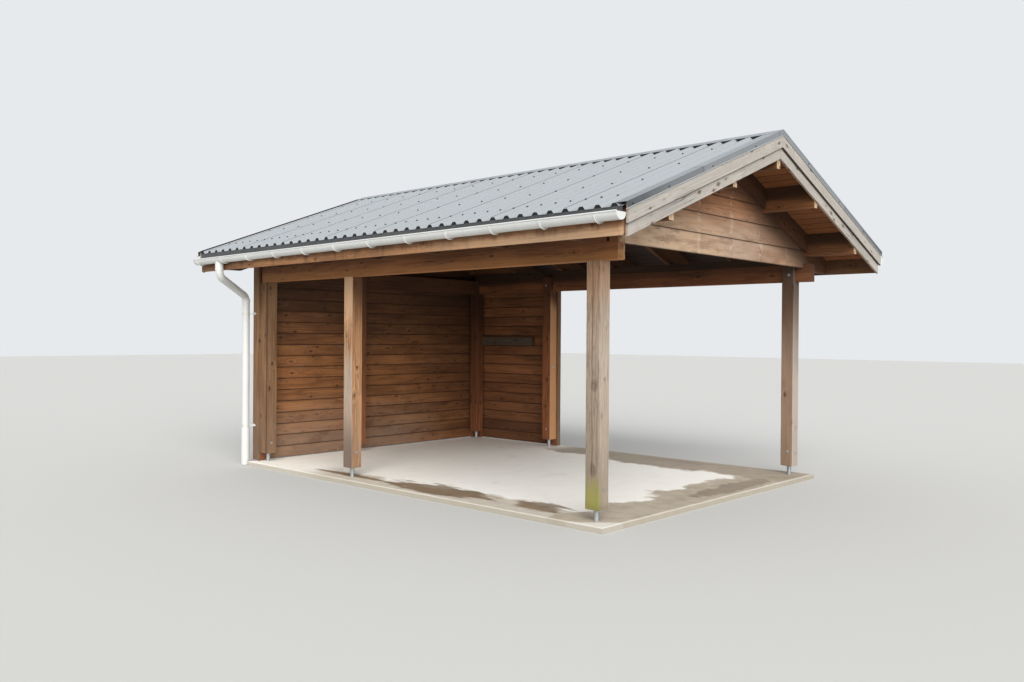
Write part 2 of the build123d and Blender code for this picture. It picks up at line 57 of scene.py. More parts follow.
# %% Camera
EYE = (7.0769, -7.9783, 1.6407)
LENS, SENSOR = 31.234, 36
YAW, PITCH, ROLL = (math.radians(a) for a in (42.699, -0.319, 0.394))
look = Vector((-math.sin(YAW) * math.cos(PITCH), math.cos(YAW) * math.cos(PITCH),
               math.sin(PITCH)))
level_right = Vector((math.cos(YAW), math.sin(YAW), 0))
level_up = level_right.cross(look)
right = math.cos(ROLL) * level_right + math.sin(ROLL) * level_up
up = math.cos(ROLL) * level_up - math.sin(ROLL) * level_right
camera = bpy.data.objects.new("camera", bpy.data.cameras.new("camera"))
camera.data.lens = LENS
camera.data.sensor_width = SENSOR
camera.data.clip_end = 200
turn = Matrix((right, up, -look)).transposed().to_4x4()
camera.matrix_world = Matrix.Translation(EYE) @ turn
bpy.context.scene.collection.objects.link(camera)
bpy.context.scene.camera = camera
bpy.context.scene.view_settings.view_transform = "Standard"
print("camera", [round(v, 2) for v in camera.matrix_world.translation])

# %% [markdown]
# Finishes and geometry recipes are both node trees, and node trees soon grow too long to read
# when every link is written out. So one small class wraps a socket and lets Python's own
# operators add the Math nodes: `1 - mask` works as it does on numbers.
# Colours and vectors go through Mix and Vector Math, because a Math node would turn them grey.

# %% A socket that can be used in sums
class Value:
    """One output socket of a node tree, with Python's operators for its maths.

    A number may stand on either side of an operator, so the reflected forms are there too.
    """

    def __init__(self, tree, socket):
        self.tree = tree
        self.socket = socket

    def math(self, operation, *values, clamp=False):
        settings = {"operation": operation, "use_clamp": clamp}
        return self.tree.node("ShaderNodeMath", settings, dict(enumerate(values)))

    def __add__(self, other):
        return self.math("ADD", self, other)

    def __sub__(self, other):
        return self.math("SUBTRACT", self, other)

    def __rsub__(self, other):
        return self.math("SUBTRACT", other, self)

    def __mul__(self, other):
        return self.math("MULTIPLY", self, other)

    def __truediv__(self, other):
        return self.math("DIVIDE", self, other)

    def __abs__(self):
        return self.math("ABSOLUTE", self)

    def __neg__(self):
        return self.math("MULTIPLY", self, -1.0)

    __radd__ = __add__
    __rmul__ = __mul__

    def fract(self):
        return self.math("FRACT", self)

    def clip(self):
        return self.math("ADD", self, 0.0, clamp=True)

    def root(self):
        return self.math("SQRT", self)

    def lower(self, other):
        return self.math("MINIMUM", self, other)

    def upper(self, other):
        return self.math("MAXIMUM", self, other)

    def ramp(self, start, end):
        """0 at start and 1 at end, with a soft turn between; end may be the lower one."""
        low, high = min(start, end), max(start, end)
        to = (0.0, 1.0) if end > start else (1.0, 0.0)
        return self.tree.node(
            "ShaderNodeMapRange", {"interpolation_type": "SMOOTHSTEP"},
            {"Value": self, "From Min": low, "From Max": high, "To Min": to[0], "To Max": to[1]},
        )


print("sockets can be added, multiplied and ramped")

# %% [markdown]
# Every other node comes from one method, which takes the node's type, its settings and
# what goes into its sockets. Settings are made first, because they decide which sockets exist.

# %% Node trees
class Tree:
    """A node tree whose nodes are added by type, settings and inputs."""

    def __init__(self, nodes_tree):
        self.tree = nodes_tree
        self.tree.nodes.clear()

    def node(self, kind, settings=None, inputs=None, output=None):
        made = self.tree.nodes.new(kind)
        for key, value in (settings or {}).items():
            if key == "stops":
                while len(made.color_ramp.elements) < len(value):
                    made.color_ramp.elements.new(0.5)
                for element, (place, colour) in zip(made.color_ramp.elements, value):
                    element.position = place
                    element.color = (*colour, 1)
            else:
                setattr(made, key, value)
        for key, value in (inputs or {}).items():
            if isinstance(key, int):
                socket = made.inputs[key]
            else:
                socket = [s for s in made.inputs if s.enabled and s.name == key][0]
            if isinstance(value, Value):
                self.tree.links.new(value.socket, socket)
            elif hasattr(socket.default_value, "__len__") and len(socket.default_value) == 4:
                socket.default_value = (*value[:3], 1)
            else:
                socket.default_value = value
        shown = [s for s in made.outputs if s.enabled]
        found = [s for s in shown if s.name == output] if output else shown
        return Value(self, found[0]) if found else made


print("node trees can be written as sums")

# %% [markdown]
# A finish is such a tree inside a material. It starts from the place of a point on the piece in
# metres, so that a stain can be put at a height above the floor or a distance from an edge.

# %% A finish and its textures
class Finish(Tree):
    """A material's tree, with the few colour and texture nodes that the finishes share."""

    def __init__(self, name):
        self.material = bpy.data.materials.new(name)
        self.material.use_nodes = True
        super().__init__(self.material.node_tree)
        self.x, self.y, self.z = self.parts(self.node("ShaderNodeTexCoord", output="Object"))

    def point(self, x, y, z):
        return self.node("ShaderNodeCombineXYZ", {}, {0: x, 1: y, 2: z})

    def noise(self, where, scale=1.0, detail=2.0, roughness=0.5):
        return self.node("ShaderNodeTexNoise", {}, {
            "Vector": where, "Scale": scale, "Detail": detail, "Roughness": roughness})

    def mix(self, factor, first, second, how="MIX"):
        settings = {"data_type": "RGBA", "blend_type": how, "clamp_factor": True}
        return self.node("ShaderNodeMix", settings, {"Factor": factor, "A": first, "B": second})

    def stains(self, colour, layers):
        """Lay stains over a colour in turn; each has a mask, a strength and its own colour."""
        for mask, strength, tint in layers:
            colour = self.mix(mask * strength, colour, tint)
        return colour

    def parts(self, vector):
        """The three numbers of a vector."""
        split = self.tree.nodes.new("ShaderNodeSeparateXYZ")
        self.tree.links.new(vector.socket, split.inputs[0])
        return [Value(self, s) for s in split.outputs]

    def facing(self):
        """The direction that each face looks in, as its three numbers."""
        return self.parts(self.node("ShaderNodeNewGeometry", output="Normal"))

    def ends(self):
        """1 on the faces that look along the ridge, such as a beam's sawn ends."""
        return abs(self.facing()[0]).ramp(0.5, 0.8)

    def cells(self, where, scale=1.0, size="3D"):
        """A Voronoi pattern: the distance to each cell's point, a random number and that point."""
        made = self.tree.nodes.new("ShaderNodeTexVoronoi")
        made.voronoi_dimensions = size
        made.inputs["Scale"].default_value = scale
        self.tree.links.new(where.socket, made.inputs["Vector"])
        tint = Value(self, made.outputs["Color"])
        lot = self.node("ShaderNodeSeparateColor", {}, {0: tint}, output="Red")
        return Value(self, made.outputs["Distance"]), lot, Value(self, made.outputs["Position"])

    def shade(self, colour, roughness, height=None, depth=0.002, **constants):
        """Finish the material; constants are set on the shader's own sockets."""
        inputs = {"Base Color": colour, "Roughness": roughness, **constants}
        if height is not None:
            bump = {"Distance": depth, "Height": height}
            inputs["Normal"] = self.node("ShaderNodeBump", {}, bump)
        surface = self.node("ShaderNodeBsdfPrincipled", {}, inputs)
        self.node("ShaderNodeOutputMaterial", {}, {"Surface": surface})
        return self.material


print("finishes can be made")

# %% [markdown]
# Colours were read off a screen, so they are turned into light values before use. Most stains
# have ragged borders, so the sum that a noise makes with a height or a depth has its own name.

# %% Colours and ragged borders
def rgb(red, green, blue):
    """A screen colour of 0 to 255, as the light value that nodes work in."""
    return tuple(((v / 255 + 0.055) / 1.055) ** 2.4 for v in (red, green, blue))


def scaled(colour, share):
    """A colour made darker or paler by one share."""
    return tuple(v * share for v in colour)


def uneven(value, noise, spread):
    """A value that a noise pushes to and fro, so a border drawn on it comes out ragged."""
    return value + (noise - 0.5) * spread


print("a mid grey of the screen is", [round(v, 3) for v in rgb(128, 128, 128)])

# %% [markdown]
# The floor is a wide pale sheet just under the slab, which takes the carport's shadow.

# %% Floor
FLOOR_HALF = 60
FLOOR_TOP = -0.001
FLOOR_COLOUR = (0.60, 0.60, 0.585)
floor_mesh = bpy.data.meshes.new("floor")
corners = [(x * FLOOR_HALF, y * FLOOR_HALF, FLOOR_TOP)
           for x, y in ((-1, -1), (1, -1), (1, 1), (-1, 1))]
floor_mesh.from_pydata(corners, [], [(0, 1, 2, 3)])
floor = bpy.data.objects.new("floor", floor_mesh)
bpy.context.scene.collection.objects.link(floor)
pale = Finish("pale_floor")
floor_mesh.materials.append(pale.shade(FLOOR_COLOUR, 0.9, **{"Specular IOR Level": 0.1}))
print("floor", 2 * FLOOR_HALF, "m wide")

# %% [markdown]
# The sky does most of the lighting, as on an overcast day, and stays bright down to the horizon,
# because the light under a roof comes in from the side. Rays from the camera see a plain pale
# sky instead, so the backdrop stays quiet, and so do reflections, so that metal mirrors that
# same backdrop.

# %% Sky
SKY_COLOURS = [(0.0, (1.15, 1.15, 1.15)), (0.4, (1.10, 1.12, 1.15)), (1.0, (0.84, 0.86, 0.89))]
SKY_STRENGTH = 0.6
BACKDROP = (0.80, 0.82, 0.84)
world = bpy.data.worlds.new("soft_sky")
bpy.context.scene.world = world
world.use_nodes = True
sky = Tree(world.node_tree)
skyward = sky.node("ShaderNodeTexCoord", output="Generated")
height = sky.node("ShaderNodeSeparateXYZ", {}, {0: skyward}, output="Z")
cloud = sky.node("ShaderNodeValToRGB", {"stops": SKY_COLOURS}, {"Fac": height})
ray = sky.tree.nodes.new("ShaderNodeLightPath")
straight, mirrored, through = (Value(sky, ray.outputs["Is " + kind + " Ray"])
                               for kind in ("Camera", "Glossy", "Transmission"))
seen = straight.upper(mirrored).upper(through)
lit = sky.node("ShaderNodeBackground", {}, {"Color": cloud, "Strength": SKY_STRENGTH})
backdrop = sky.node("ShaderNodeBackground", {}, {"Color": BACKDROP, "Strength": 1.0})
sky.node("ShaderNodeOutputWorld", {},
         {"Surface": sky.node("ShaderNodeMixShader", {}, {0: seen, 1: lit, 2: backdrop})})
print("sky strength", SKY_STRENGTH)

# %% [markdown]
# A broad soft sun from above and a second one low on the camera's side give the timber its
# form and reach the inner walls.

# %% Suns
SUN_COLOUR = (1.0, 0.98, 0.95)


def soft_sun(name, towards, power, spread):
    """A sun lamp that shines from a direction, spread over so many degrees of the sky."""
    sun = bpy.data.objects.new(name, bpy.data.lights.new(name, "SUN"))
    sun.data.energy = power
    sun.data.angle = math.radians(spread)
    sun.data.color = SUN_COLOUR
    sun.matrix_world = Vector(towards).to_track_quat("Z", "Y").to_matrix().to_4x4()
    bpy.context.scene.collection.objects.link(sun)


soft_sun("broad_sun", (0.7, -0.7, 0.60), 1.9, 50)
soft_sun("low_glow", (0.80, -0.6, 0.46), 2.1, 50)
print("two soft suns ready")

# %% [markdown]
# Timber is most of this building, so one function will make all its finishes. It needs to know
# three things about a point: where it lies along the grain, whether a knot is there, and how
# much rain and sun its face has had. Each gets a small function first.
# A knot is a branch that runs out to the face, so knots are drawn in the plane of each face:
# they stand at the points of a flat Voronoi pattern, and their outline is measured in true
# distance, so they stay round.

# %% Grain, knots and weather
SLOPE = math.radians(21)
KNOTS_ALONG, KNOTS_ACROSS = 3.1, 6.3


def grain_axes(f, grain):
    """A point's place along the grain, and its two places across it."""
    if grain == "x":
        return f.x, f.y, f.z
    if grain == "y":
        return f.y, f.x, f.z
    if grain == "z":
        return f.z, f.x, f.y
    up_slope = f.z * math.sin(SLOPE) - abs(f.y) * math.cos(SLOPE)
    return up_slope, f.x, f.z * math.cos(SLOPE) + abs(f.y) * math.sin(SLOPE)


def knots_at(f, run, wide, share, knot_size):
    """The knots of a face: their eyes, the rims round them, their tails and their halos."""
    near, lot, centre = f.cells(f.point(run * KNOTS_ALONG, wide * KNOTS_ACROSS, 0.0), size="2D")
    has_knot = lot.ramp(1.0 - share, 1.0 - share + 0.02)
    mid_run, mid_wide, _ = f.parts(centre)
    off_run, off_wide = run - mid_run / KNOTS_ALONG, wide - mid_wide / KNOTS_ACROSS
    apart = (off_run * off_run * 0.5 + off_wide * off_wide).root()
    size = knot_size * (0.35 + lot * 0.75)
    eye = (apart / size).ramp(1.15, 0.75) * has_knot
    rim = (apart / size).ramp(2.1, 1.1) * has_knot * (1 - eye)
    tail = (abs(off_wide) / size).ramp(0.9, 0.2) * abs(off_run).ramp(0.085, 0.012) * has_knot
    return eye, rim, tail, near.ramp(0.34, 0.03) * has_knot


def greyness(f, greyed, patch, fibre):
    """How grey a face has gone, patchily; greyed is ordered +X, -Y, up, -X, +Y."""
    nx, ny, nz = f.facing()
    grey = nz.ramp(0.3, 0.8) * greyed[2]
    for towards, amount in ((nx, greyed[0]), (-ny, greyed[1]), (-nx, greyed[3]), (ny, greyed[4])):
        grey = grey + towards.ramp(0.3, 0.8) * amount
    return (grey + (patch - 0.5) * 0.8 * grey + (fibre - 0.5) * 0.4 * grey).clip()


print("grain can run along x, y, z or a slope of", round(math.degrees(SLOPE)), "degrees")

# %% [markdown]
# A tree's growth rings show as long contour lines, so the finish reads the height lines of
# a noise that is stretched along the grain, and a knot's halo pushes them aside.
# Fine fibres, drying cracks and grey weathering lie on top.
# The caller says which way the grain runs, and how much rain and sun each face has had.
# What lies on a colour is given as a table of masks, strengths and colours, in which the
# later stains cover the earlier ones.

# %% A finish for timber
def timber(name, grain, young, old, dark, weather, greyed=(0, 0, 0, 0, 0), board=False, knots=0.5,
           cracks=0.5, rings=7.0, knot_size=0.011, extra=None):
    """A finish for timber whose grain follows one of 'x', 'y', 'z' or 'slope'.

    greyed holds the weathering of faces towards +X, -Y, up, -X and +Y, and extra is a
    function that adds the wear of one piece, with its painted shade and light.
    """
    f = Finish(name)
    along, across, deep = grain_axes(f, grain)
    if board:
        tone = f.node("ShaderNodeAttribute", {"attribute_name": "board"}, output="Fac")
        along = along + tone * 37.0
        across = across + tone * 11.0
    broad = f.noise(f.point(along * 0.34, across * 5.2, deep * 5.2), 1.0, 3.0, 0.45)
    _, ny, nz = f.facing()
    turned = abs(ny if grain == "z" else nz).ramp(0.5, 0.6)
    run = along + turned * 2.2
    wide = deep + (across - deep) * turned
    knot, rim, tail, halo = knots_at(f, run, wide, knots, knot_size)
    ring = (broad * rings + halo * 1.3).fract()
    line = ring.ramp(0.45, 0.98) * ring.ramp(1.0, 0.985)
    fibre = f.noise(f.point(along * 2.2, across * 120.0, deep * 120.0), 1.0, 5.0, 0.62)
    patch = f.noise(f.point(along * 0.9, across * 2.4, deep * 2.4), 1.0, 4.0, 0.55)
    fleck = f.noise(f.point(along * 13.0, across * 62.0, deep * 62.0), 1.0, 2.0, 0.5)
    fleck = fleck.ramp(0.63, 0.75)
    split_noise = f.noise(f.point(along * 0.75, across * 30.0, deep * 30.0), 1.0, 2.0, 0.4)
    cracked = patch.ramp(0.66 - 0.2 * cracks, 0.72 - 0.2 * cracks)
    split = abs(split_noise - 0.5).ramp(0.010, 0.002) * cracked
    fresh = f.stains(f.mix(fibre.ramp(0.3, 0.7), young, old), [
        (line, 0.40, dark),
        (patch.ramp(0.42, 0.68), 0.38, dark),
    ])
    grey = greyness(f, greyed, patch, fibre)
    worn = f.stains(f.mix(fibre.ramp(0.35, 0.65), weather, scaled(weather, 0.80)), [
        (line, 0.30, scaled(weather, 0.60)),
        (patch.ramp(0.45, 0.65), 0.35, scaled(weather, 0.66)),
    ])
    colour = f.stains(f.mix(grey, fresh, worn), [
        (fleck, 0.45, dark),
        (tail, 0.50, scaled(dark, 0.75)),
        (rim, 0.45, scaled(dark, 0.75)),
        (knot, 0.85, scaled(dark, 0.42)),
        (split, 0.85, scaled(dark, 0.16)),
    ])
    if board:
        colour = f.mix(tone, f.mix(1.0, colour, (0.76, 0.73, 0.70), "MULTIPLY"),
                       f.mix(1.0, colour, (1.14, 1.12, 1.10), "MULTIPLY"))
    if extra:
        colour = extra(f, colour, patch)
    height = fibre * 0.35 + line * -0.25 + knot * 0.3 - split * 1.6
    rough = 0.62 + fibre * 0.2 + grey * 0.12
    return f.shade(colour, rough, height, 0.0012, **{"Specular IOR Level": 0.3})


print("timber finish ready")

# %% [markdown]
# No two posts have aged alike. The rain reaches the two in front, so their outer faces are grey
# from the ground up, and the one at the open corner is split and green at its foot.
# Each kind of wear is a function that the timber finish calls at its end: it takes the colour
# made so far, and mixes a stain in where a mask says so. A mask is a height or a depth
# that noise has made ragged, cut off softly by a ramp.

# %% Wear on the corner post
FRONT_FACE = 1.905
KNOT_CLUSTERS = ((2.446, 1.219), (2.440, 0.500))
CLUSTER_WIDE, CLUSTER_HIGH = 0.030, 0.048
LONG_CRACK = 2.423


def on_front(f):
    """1 on the faces of the front posts that look away from the frame."""
    return (-f.y - FRONT_FACE).ramp(0.0, 0.01)


def algae(f, colour, patch):
    """Green growth and damp on the foot of a post."""
    patchy = f.noise(f.point(f.x * 9, f.y * 9, f.z * 5), 1.0, 4.0, 0.6)
    streak = f.noise(f.point(f.x * 46.0, f.y * 46.0, f.z * 3.0), 1.0, 4.0, 0.6)
    beside = (-f.y - 1.84).ramp(0.0, 0.06) * 0.6
    low = uneven(uneven(f.z, patchy, 0.30), streak, 0.45).ramp(0.47, 0.28)
    green = low * on_front(f).upper(beside)
    colour = f.mix(green * streak.ramp(0.25, 0.55) * 0.9, colour, rgb(134, 132, 62))
    return f.mix(f.z.ramp(0.24, 0.155) * 0.35, colour, rgb(92, 84, 50))


def near_post(f, colour, patch):
    """The post at the open corner: worn grey, split down its front face, green at the foot."""
    outer = on_front(f)
    drift = f.noise(f.point(f.z * 0.9, 0.0, 4.0), 1.0, 3.0, 0.5) - 0.5
    shake = f.noise(f.point(f.x * 34.0 + f.y * 34.0, 2.0, f.z * 2.4), 1.0, 4.0, 0.6)
    split_up = abs(shake - 0.5).ramp(0.05, 0.015) * (0.45 + 0.55 * outer)
    colour = f.stains(colour, [
        (uneven(f.z, patch, 1.2).ramp(2.10, 1.50), 0.50, rgb(176, 164, 150)),
        (outer * f.z.ramp(2.3, 1.3), 0.45, rgb(126, 112, 98)),
        (uneven(f.z, patch, 0.5).ramp(1.85, 2.25), 0.55, rgb(182, 138, 102)),
        (split_up, 0.40, rgb(88, 74, 62)),
        (uneven(f.z, shake, 1.6).ramp(0.95, 0.35), 0.30, rgb(120, 112, 96)),
        (uneven(f.z, patch, 0.6).ramp(1.5, 0.8), 0.24, rgb(112, 100, 88)),
    ])
    for mid_x, mid_z in KNOT_CLUSTERS:
        off_x, off_z = (f.x - mid_x) / CLUSTER_WIDE, (f.z - mid_z) / CLUSTER_HIGH
        reach = uneven((off_x * off_x + off_z * off_z).root(), shake, 1.2)
        swirl = (reach * 2.6).fract().ramp(0.35, 0.8)
        colour = f.mix(reach.ramp(1.5, 0.7) * outer * (0.25 + swirl * 0.5), colour, rgb(78, 64, 54))
    crack = abs(f.x - LONG_CRACK + drift * 0.05).ramp(0.0042, 0.0012) * outer
    colour = f.mix(crack * f.z.ramp(0.35, 0.55) * 0.9, colour, rgb(48, 38, 30))
    return algae(f, colour, patch)


print("wear on the corner post ready")

# %% [markdown]
# The other two front posts are worn in their lower half only, with painted shade high on their
# inner faces, and the far one has a painted shadow line at the seam of its cover board.

# %% Wear and painted shade on the other front posts
SEAM_INSET = 0.008


def worn_low(f, colour, patch):
    """The lower half of a post has lost its oil, so it turns grey upwards to a ragged line, and
    painted shade darkens the upper part of its other faces.
    """
    outer = on_front(f)
    streak = f.noise(f.point(f.x * 60.0 + f.y * 60.0, 5.0, f.z * 2.0), 1.0, 4.0, 0.6)
    return f.stains(colour, [
        (outer * f.z.ramp(1.5, 2.1), 0.55, rgb(216, 180, 146)),
        (uneven(f.z, patch, 1.6).ramp(1.85, 1.25) * outer, 0.75, rgb(168, 155, 142)),
        (uneven(f.z, patch, 1.4).ramp(1.15, 0.45) * outer, 0.55, rgb(122, 102, 88)),
        (streak.ramp(0.52, 0.66) * outer * f.z.ramp(2.0, 1.0), 0.45, rgb(96, 80, 68)),
        (uneven(f.z, streak, 0.5).ramp(0.80, 0.30) * outer, 0.60, rgb(84, 70, 62)),
        # painted shade on the upper part of the faces that do not look out from the frame
        (uneven(f.z, patch, 0.4).ramp(1.65, 2.15) * (1 - outer), 0.85, rgb(84, 48, 26)),
        (uneven(f.z, streak, 0.6).ramp(1.2, 0.35) * (1 - outer), 0.60, rgb(132, 108, 90)),
    ])


def far_post(f, colour, patch):
    """A painted shadow line near the corner of the far post, where its cover board ends."""
    corner_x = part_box("front_far_post")[1].x
    # painted shadow line at the seam
    seam_shadow = abs(f.x - corner_x + SEAM_INSET).ramp(0.014, 0.006) * on_front(f)
    colour = f.mix(uneven(f.z, patch, 0.8).ramp(1.1, 0.3) * 0.35, colour, rgb(120, 100, 84))
    return f.mix(seam_shadow * 0.75, colour, rgb(60, 38, 24))


print("wear on the other front posts ready")

# %% [markdown]
# The posts under the roof have kept their oil. Painted shade makes them darkest at the top, and
# the ones in the openings get painted light on the side that the daylight reaches.
# Splashed water has taken the colour out of the wall trims' feet.

# %% Wear, painted shade and painted light on the posts inside
def painted_shade_above(f, colour, patch):
    """Under the roof the oil keeps its colour, and painted shade darkens it towards the top."""
    # painted shade towards the top
    return f.mix(uneven(f.z, patch, 0.8).ramp(1.0, 2.4) * 0.72, colour, rgb(50, 32, 21))


def rear_post(f, colour, patch):
    """The rear corner post: brown inside, with painted shade that deepens towards the top under the
    beam, and grey towards the open end.
    """
    open_side = f.facing()[0].ramp(0.5, 0.8)
    upper = uneven(f.z, patch, 0.6).ramp(1.4, 2.0)
    # brown on the inner faces, with painted shade deeper towards the top
    colour = f.mix((0.26 + upper * 0.34) * (1 - open_side * 0.9), colour, rgb(96, 62, 42))
    colour = f.mix(open_side * (1 - upper * 0.7) * 0.50, colour, rgb(176, 170, 164))
    return painted_shade_above(f, colour, patch)


def grey_foot(f, colour, patch):
    """Splashed water has taken the colour out of a trim's foot."""
    return f.mix(uneven(f.z, patch, 0.5).ramp(1.2, 0.2) * 0.50, colour, rgb(118, 100, 86))


def painted_lit_side(f, colour, patch):
    """A post in the rear opening: painted light makes its side towards the light tan, and its other
    faces stay dark.
    """
    colour = painted_shade_above(f, colour, patch)
    # painted light on the face towards +X, below the beam
    lit = f.facing()[0].ramp(0.5, 0.8) * uneven(f.z, patch, 0.5).ramp(2.25, 1.95)
    return f.mix(lit * 0.58, colour, rgb(218, 166, 118))


def painted_corner_shade(f, colour, patch):
    """The post in the rear corner gets the least light, so painted shade darkens it from just above
    its foot.
    """
    # painted shade, from just above the foot upwards
    colour = f.mix(uneven(f.z, patch, 0.6).ramp(0.3, 0.9) * 0.45, colour, rgb(46, 28, 18))
    return painted_shade_above(f, colour, patch)


print("wear on the posts inside ready")

# %% [markdown]
# With the wear written down, each post's finish is one line: how weathered each of its sides is,
# how brown its timber, and which wear comes on top.

# %% Finishes for the posts
POST_TAN = rgb(186, 146, 108)
POST_OLD = rgb(158, 116, 80)
POST_DARK = rgb(112, 72, 44)
WEATHERED = rgb(184, 172, 158)


def post_finish(name, greyed, brown=1.0, extra=None, cracks=0.6):
    """A post that the weather reaches; a low brown makes its timber darker."""
    young, old, dark = (scaled(tint, brown) for tint in (POST_TAN, POST_OLD, POST_DARK))
    return timber(name, "z", young, old, dark, WEATHERED, greyed, knots=0.42, cracks=cracks,
                  rings=9.0, knot_size=0.012, extra=extra)


def inner_post(name, extra):
    """A post that stands inside and has kept its oil."""
    return timber(name, "z", rgb(150, 94, 60), rgb(128, 78, 48), rgb(80, 46, 28), WEATHERED,
                  (0.0, 0.0, 0.1, 0.0, 0.3), knots=0.42, cracks=0.6, rings=9.0, knot_size=0.012,
                  extra=extra)


post_weathered = post_finish("post_weathered", (0.7, 0.35, 0.4, 0.4, 0.3), 0.92, near_post, 1.0)
post_front = post_finish("post_front", (0.0, 0.0, 0.3, 0.3, 0.2), 1.15, worn_low, 0.8)
# painted shade: the far post's browns are darkened to about half
post_far = post_finish("post_far", (0.0, 0.0, 0.2, 0.4, 0.2), 0.51, far_post, 0.5)
post_rear = post_finish("post_rear", (0.40, 0.35, 0.3, 0.2, 0.6), 0.55, rear_post, 0.7)
post_inner = inner_post("post_inner", painted_shade_above)
post_opening = inner_post("post_in_rear_opening", painted_lit_side)
post_corner = inner_post("post_in_rear_corner", painted_corner_shade)
trim_finish = post_finish("wall_trim", (0.0, 0.0, 0.2, 0.5, 0.3), 0.48, grey_foot, 0.5)
print("finishes for the posts ready")

# %% [markdown]
# Dirt gathers in the joints between boards, so the finishes have to know where the joints are.
# The solids tell it: their boxes give the foot of each wall, and the boards' width does the rest.
# Nails sit over the gable's studs, which stand at 1.6 to the metre.

# %% Where the joints lie
WALL_BOARD = 0.145
GABLE_BOARD = 0.2
WALL_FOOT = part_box("end_wall_cladding")[0].z
GABLE_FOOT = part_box("near_gable_cladding")[0].z
UPPER_FOOT = (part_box("upper_barge_boards")[0].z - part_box("ridge_beam")[1].z
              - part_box("upper_barge_boards")[0].y * math.tan(SLOPE)) * math.cos(SLOPE)
RIDGE_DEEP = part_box("ridge_beam")[1].z * math.cos(SLOPE)
rear_low, rear_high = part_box("rear_wall_cladding")
REAR_BOARDS = round((rear_high.z - rear_low.z) / WALL_BOARD)
REAR_BOARD = (rear_high.z - rear_low.z) / REAR_BOARDS
DECK_ROWS = 22
DECK_BOARD = -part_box("front_roof_deck")[0].y / math.cos(SLOPE) / DECK_ROWS
STUDS_PER_METRE = 1.6
STUD_SHIFT = 0.25
INSIDE_END = 2.45
print("boards of", WALL_BOARD, round(REAR_BOARD, 4), GABLE_BOARD, round(DECK_BOARD, 4), "m")

# %% [markdown]
# The barge boards take all the weather and are pale, with a painted shadow line where one laps the
# other.
# The gable's lowest boards are washed out and smoky, and each nail in them has bled a short
# streak. Painted shade darkens the upper boards and the boards right under the roof's edge.

# %% Wear and painted shade on the boards outside
def lapped(f, colour, patch):
    """A painted shadow line on the lower barge boards, right under the foot of the upper ones."""
    lift = f.z * math.cos(SLOPE) + abs(f.y) * math.sin(SLOPE) - RIDGE_DEEP - UPPER_FOOT
    # painted shadow under the foot of the upper barge boards
    lap_shade_line = lift.ramp(-0.016, -0.004) * lift.ramp(0.002, 0.0005)
    smudge = f.noise(f.point(f.y * 6.0, f.z * 6.0, f.x), 1.0, 4.0, 0.6)
    colour = f.mix(smudge.ramp(0.55, 0.75) * 0.35, colour, rgb(128, 112, 96))
    return f.mix(lap_shade_line * 0.85, colour, rgb(52, 42, 34))


def under_deck_by(f):
    """How far a point lies under the roof deck, square to the slope."""
    return RIDGE_DEEP - f.z * math.cos(SLOPE) - abs(f.y) * math.sin(SLOPE)


def joint_lines(f, colour, climb, pitch):
    """Dirt in the joints between boards; climb is the distance from the first joint."""
    off = abs((climb / pitch + 0.5).fract() - 0.5) * pitch
    colour = f.mix(off.ramp(0.018, 0.004) * 0.30, colour, rgb(52, 32, 20))
    return f.mix(off.ramp(0.0055, 0.0025) * 0.8, colour, rgb(34, 22, 15))


def gable_weather_and_shade(f, colour, patch):
    """Washed-out low boards with smoky patches, a streak under each nail, and painted shade on the
    upper boards and right under the roof's edge.
    """
    washed = uneven(f.z, patch, 0.35).ramp(3.02, 2.55)
    cloudy = f.noise(f.point(f.y * 1.4, f.z * 7.0, 3.0), 1.0, 6.0, 0.68)
    smoke = f.noise(f.point(f.y * 3.2, f.z * 20.0, 7.0), 1.0, 6.0, 0.7)
    bled = f.noise(f.point(f.y * 9.0, f.z * 12.0, 1.0), 1.0, 4.0, 0.6)
    shade = uneven(under_deck_by(f), cloudy, 0.25).ramp(0.58, 0.22) * f.y.ramp(-0.1, 0.9)
    stud = abs((f.y * STUDS_PER_METRE + STUD_SHIFT).fract() - 0.5)
    pale = stud.ramp(0.09, 0.02) * bled.ramp(0.50, 0.60) * (1 - shade)
    colour = f.stains(colour, [
        (washed, 0.62 + f.y.ramp(-0.1, -0.8) * 0.14, rgb(214, 188, 160)),
        (washed * abs(f.y - 0.45).ramp(1.0, 0.1), 0.60, rgb(150, 132, 120)),
        (washed * cloudy.ramp(0.44, 0.62), 0.55, rgb(126, 98, 76)),
        (smoke.ramp(0.52, 0.68), 0.50, rgb(108, 74, 50)),
        (uneven(f.y, cloudy, 1.2).ramp(0.3, 1.5), 0.40, rgb(112, 72, 44)),
        # painted shade on the upper boards, under the overhang
        (uneven(f.z, patch, 0.3).ramp(2.88, 3.20), 0.75, rgb(62, 38, 24)),
        (shade, 0.85, rgb(50, 30, 19)),
        (pale, 0.30, rgb(214, 194, 172)),
        (stud.ramp(0.016, 0.004) * bled.ramp(0.52, 0.44), 0.50, rgb(84, 60, 42)),
    ])
    return joint_lines(f, colour, f.z - GABLE_FOOT, GABLE_BOARD)


print("wear on the boards outside ready")

# %% [markdown]
# The walls are dusty at the floor and have painted shade under the roof, and the deck has the
# deepest painted shade of all, except where it reaches out past the walls and gets painted light.

